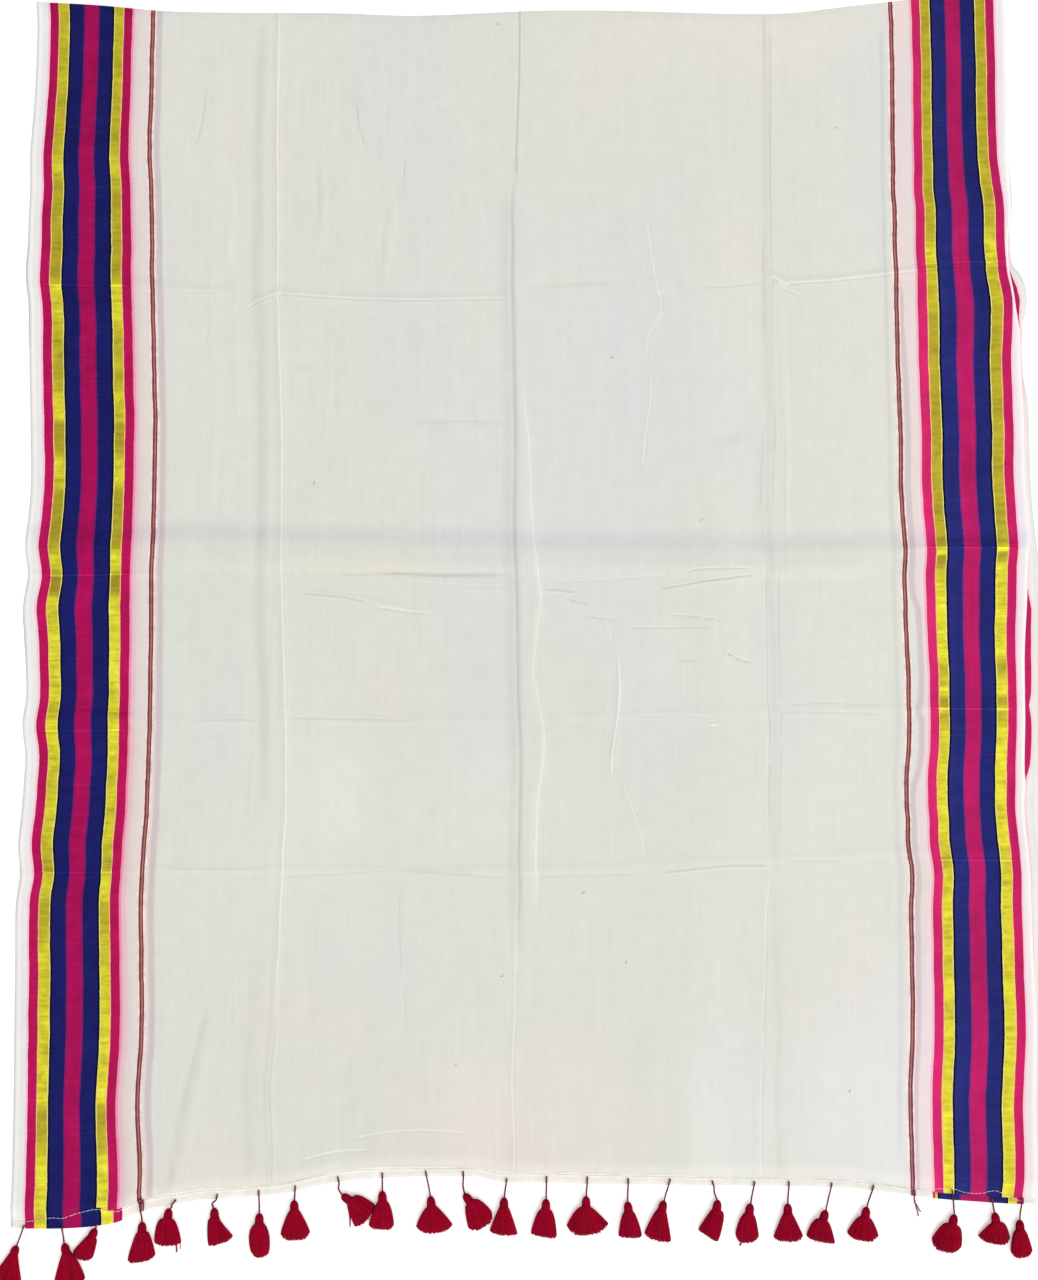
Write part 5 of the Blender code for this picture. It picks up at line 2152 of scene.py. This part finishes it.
@dataclass
class LooseFibres:
    """Stray dark fibres lying on the white of the pallu."""
    layout: ClothLayout
    spots: tuple[Place, ...] = ((-28, 1342), (370, 1202), (101, 935), (-249, 794), (202, 738),
                                (64, 322), (-28, 231), (112, 243), (-78, 127), (367, 101))
    radius: float = 0.00022
    reach: float = 0.0022

    def build(self, material: bpy.types.Material) -> bpy.types.Object:
        """Builds the fibres.

        Args:
            material: Their thread.

        Returns:
            The piece.
        """
        bundle = ThreadBundle()
        luck = random.Random(11)
        for across, up in self.spots:
            angle = luck.uniform(0, math.tau)
            cos, sin = math.cos(angle), math.sin(angle)
            line = []
            for share in (-1, -0.4, 0.3, 1):
                bend = 0.4 * share * share
                place = across * MM + self.reach * (share * cos - bend * sin)
                height = up * MM + self.reach * (share * sin + bend * cos)
                line.append(self.layout.on_face(place, height, self.radius))
            bundle.add(line, [self.radius * size for size in (0.5, 1, 1, 0.5)], tone=luck.random())
        piece = bundle.build("loose_fibres", [material])
        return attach(piece, "root")


@dataclass
class Studio:
    """The pale floor, the soft light and the camera at the photograph's angle."""
    floor_half: float = 6.0
    floor_drop: float = 0.0003
    lens: float = 50.0
    sensor: float = 36.0
    distance: float = 2.039
    tilt: float = math.atan(0.0856)
    target: tuple[float, float, float] = (-0.0104, -0.0255, 0.006)
    sun_way: tuple[float, float, float] = (0.50, -0.70, 1.0)
    sun_strength: float = 2.32
    sun_angle: float = math.radians(75)
    sky: float = 0.50

    def add_floor(self) -> None:
        """Adds the floor."""
        bm = bmesh.new()
        bmesh.ops.create_grid(bm, x_segments=8, y_segments=8, size=self.floor_half)
        bmesh.ops.translate(bm, verts=bm.verts, vec=(0, 0, -self.floor_drop))
        put_in_scene("floor", bm, [PaleFloor().make()])

    def add_light(self) -> None:
        """Adds the soft light: an even sky, and a wide sun from the lower right."""
        world = bpy.data.worlds.new("studio")
        bpy.context.scene.world = world
        world.use_nodes = True
        world.node_tree.nodes["Background"].inputs["Color"].default_value = (1, 1, 1, 1)
        world.node_tree.nodes["Background"].inputs["Strength"].default_value = self.sky
        sun = bpy.data.lights.new("window", "SUN")
        sun.energy = self.sun_strength
        sun.angle = self.sun_angle
        lamp = bpy.data.objects.new("window", sun)
        lamp.rotation_mode = "QUATERNION"
        lamp.rotation_quaternion = Vector(self.sun_way).to_track_quat("Z", "Y")
        bpy.context.scene.collection.objects.link(lamp)

    def add_camera(self) -> None:
        """Adds the camera."""
        data = bpy.data.cameras.new("camera")
        data.lens = self.lens
        data.sensor_width = self.sensor
        data.clip_end = 100
        camera = bpy.data.objects.new("camera", data)
        back = Vector((0, -math.sin(self.tilt), math.cos(self.tilt)))
        camera.location = Vector(self.target) + back * self.distance
        camera.rotation_mode = "QUATERNION"
        camera.rotation_quaternion = (-back).to_track_quat("-Z", "Y")
        bpy.context.scene.collection.objects.link(camera)
        bpy.context.scene.camera = camera

    def build(self) -> None:
        """Builds the floor, the light and the camera."""
        self.add_floor()
        self.add_light()
        self.add_camera()
        bpy.context.scene.view_settings.view_transform = "Standard"


def reported(piece: bpy.types.Object) -> bpy.types.Object:
    """Logs a piece's name and how many faces it has, and returns it."""
    log.info("%s: %d faces", piece.name, len(piece.data.polygons))
    return piece


def main() -> None:
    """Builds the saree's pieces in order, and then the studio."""
    logging.basicConfig(level=logging.INFO, format="%(message)s")
    layout = ClothLayout()
    body = WovenCotton("woven_cotton").make()
    hem_cotton = WovenCotton("hem_cotton", whiteness=1.0, see_through=0.0).make()
    layer_cotton = WovenCotton("layer_cotton", whiteness=0.4, see_through=0.0).make()
    crimson = SpunThread("crimson_thread", linear(112, 0, 22), linear(166, 0, 42)).make()
    maroon = SpunThread("maroon_cord", linear(84, 26, 40), linear(148, 78, 92)).make()
    white = SpunThread("stitch_thread", linear(226, 222, 218), linear(246, 242, 238)).make()
    grey = SpunThread("grey_fibre", linear(96, 88, 92), linear(140, 134, 130)).make()

    layers = [
        UnderLayer(layout, "fourth_layer", 0, "fourth", 0.022, 0.3),
        UnderLayer(layout, "third_layer", 1, "third", 0.022, 0.3),
        UnderLayer(layout, "second_layer", 2, "second", 0.027, 1.0),
    ]
    laid = [reported(layer.build(layer_cotton)) for layer in layers]
    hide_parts("folded_layers")
    pallu = reported(PalluCloth(layout).build(body))
    strip = HemStrip(layout)
    hem = reported(strip.build(hem_cotton))
    stitches = reported(HemStitches(layout, strip).build(white))
    tassels = [reported(TasselPiece(layout, number, row).build([crimson, maroon]))
               for number, row in enumerate(TASSELS, start=1)]
    cord = reported(BrokenCord(layout).build(maroon))
    fibres = reported(LooseFibres(layout).build(grey))

    Studio().build()


if __name__ == "__main__":
    main()
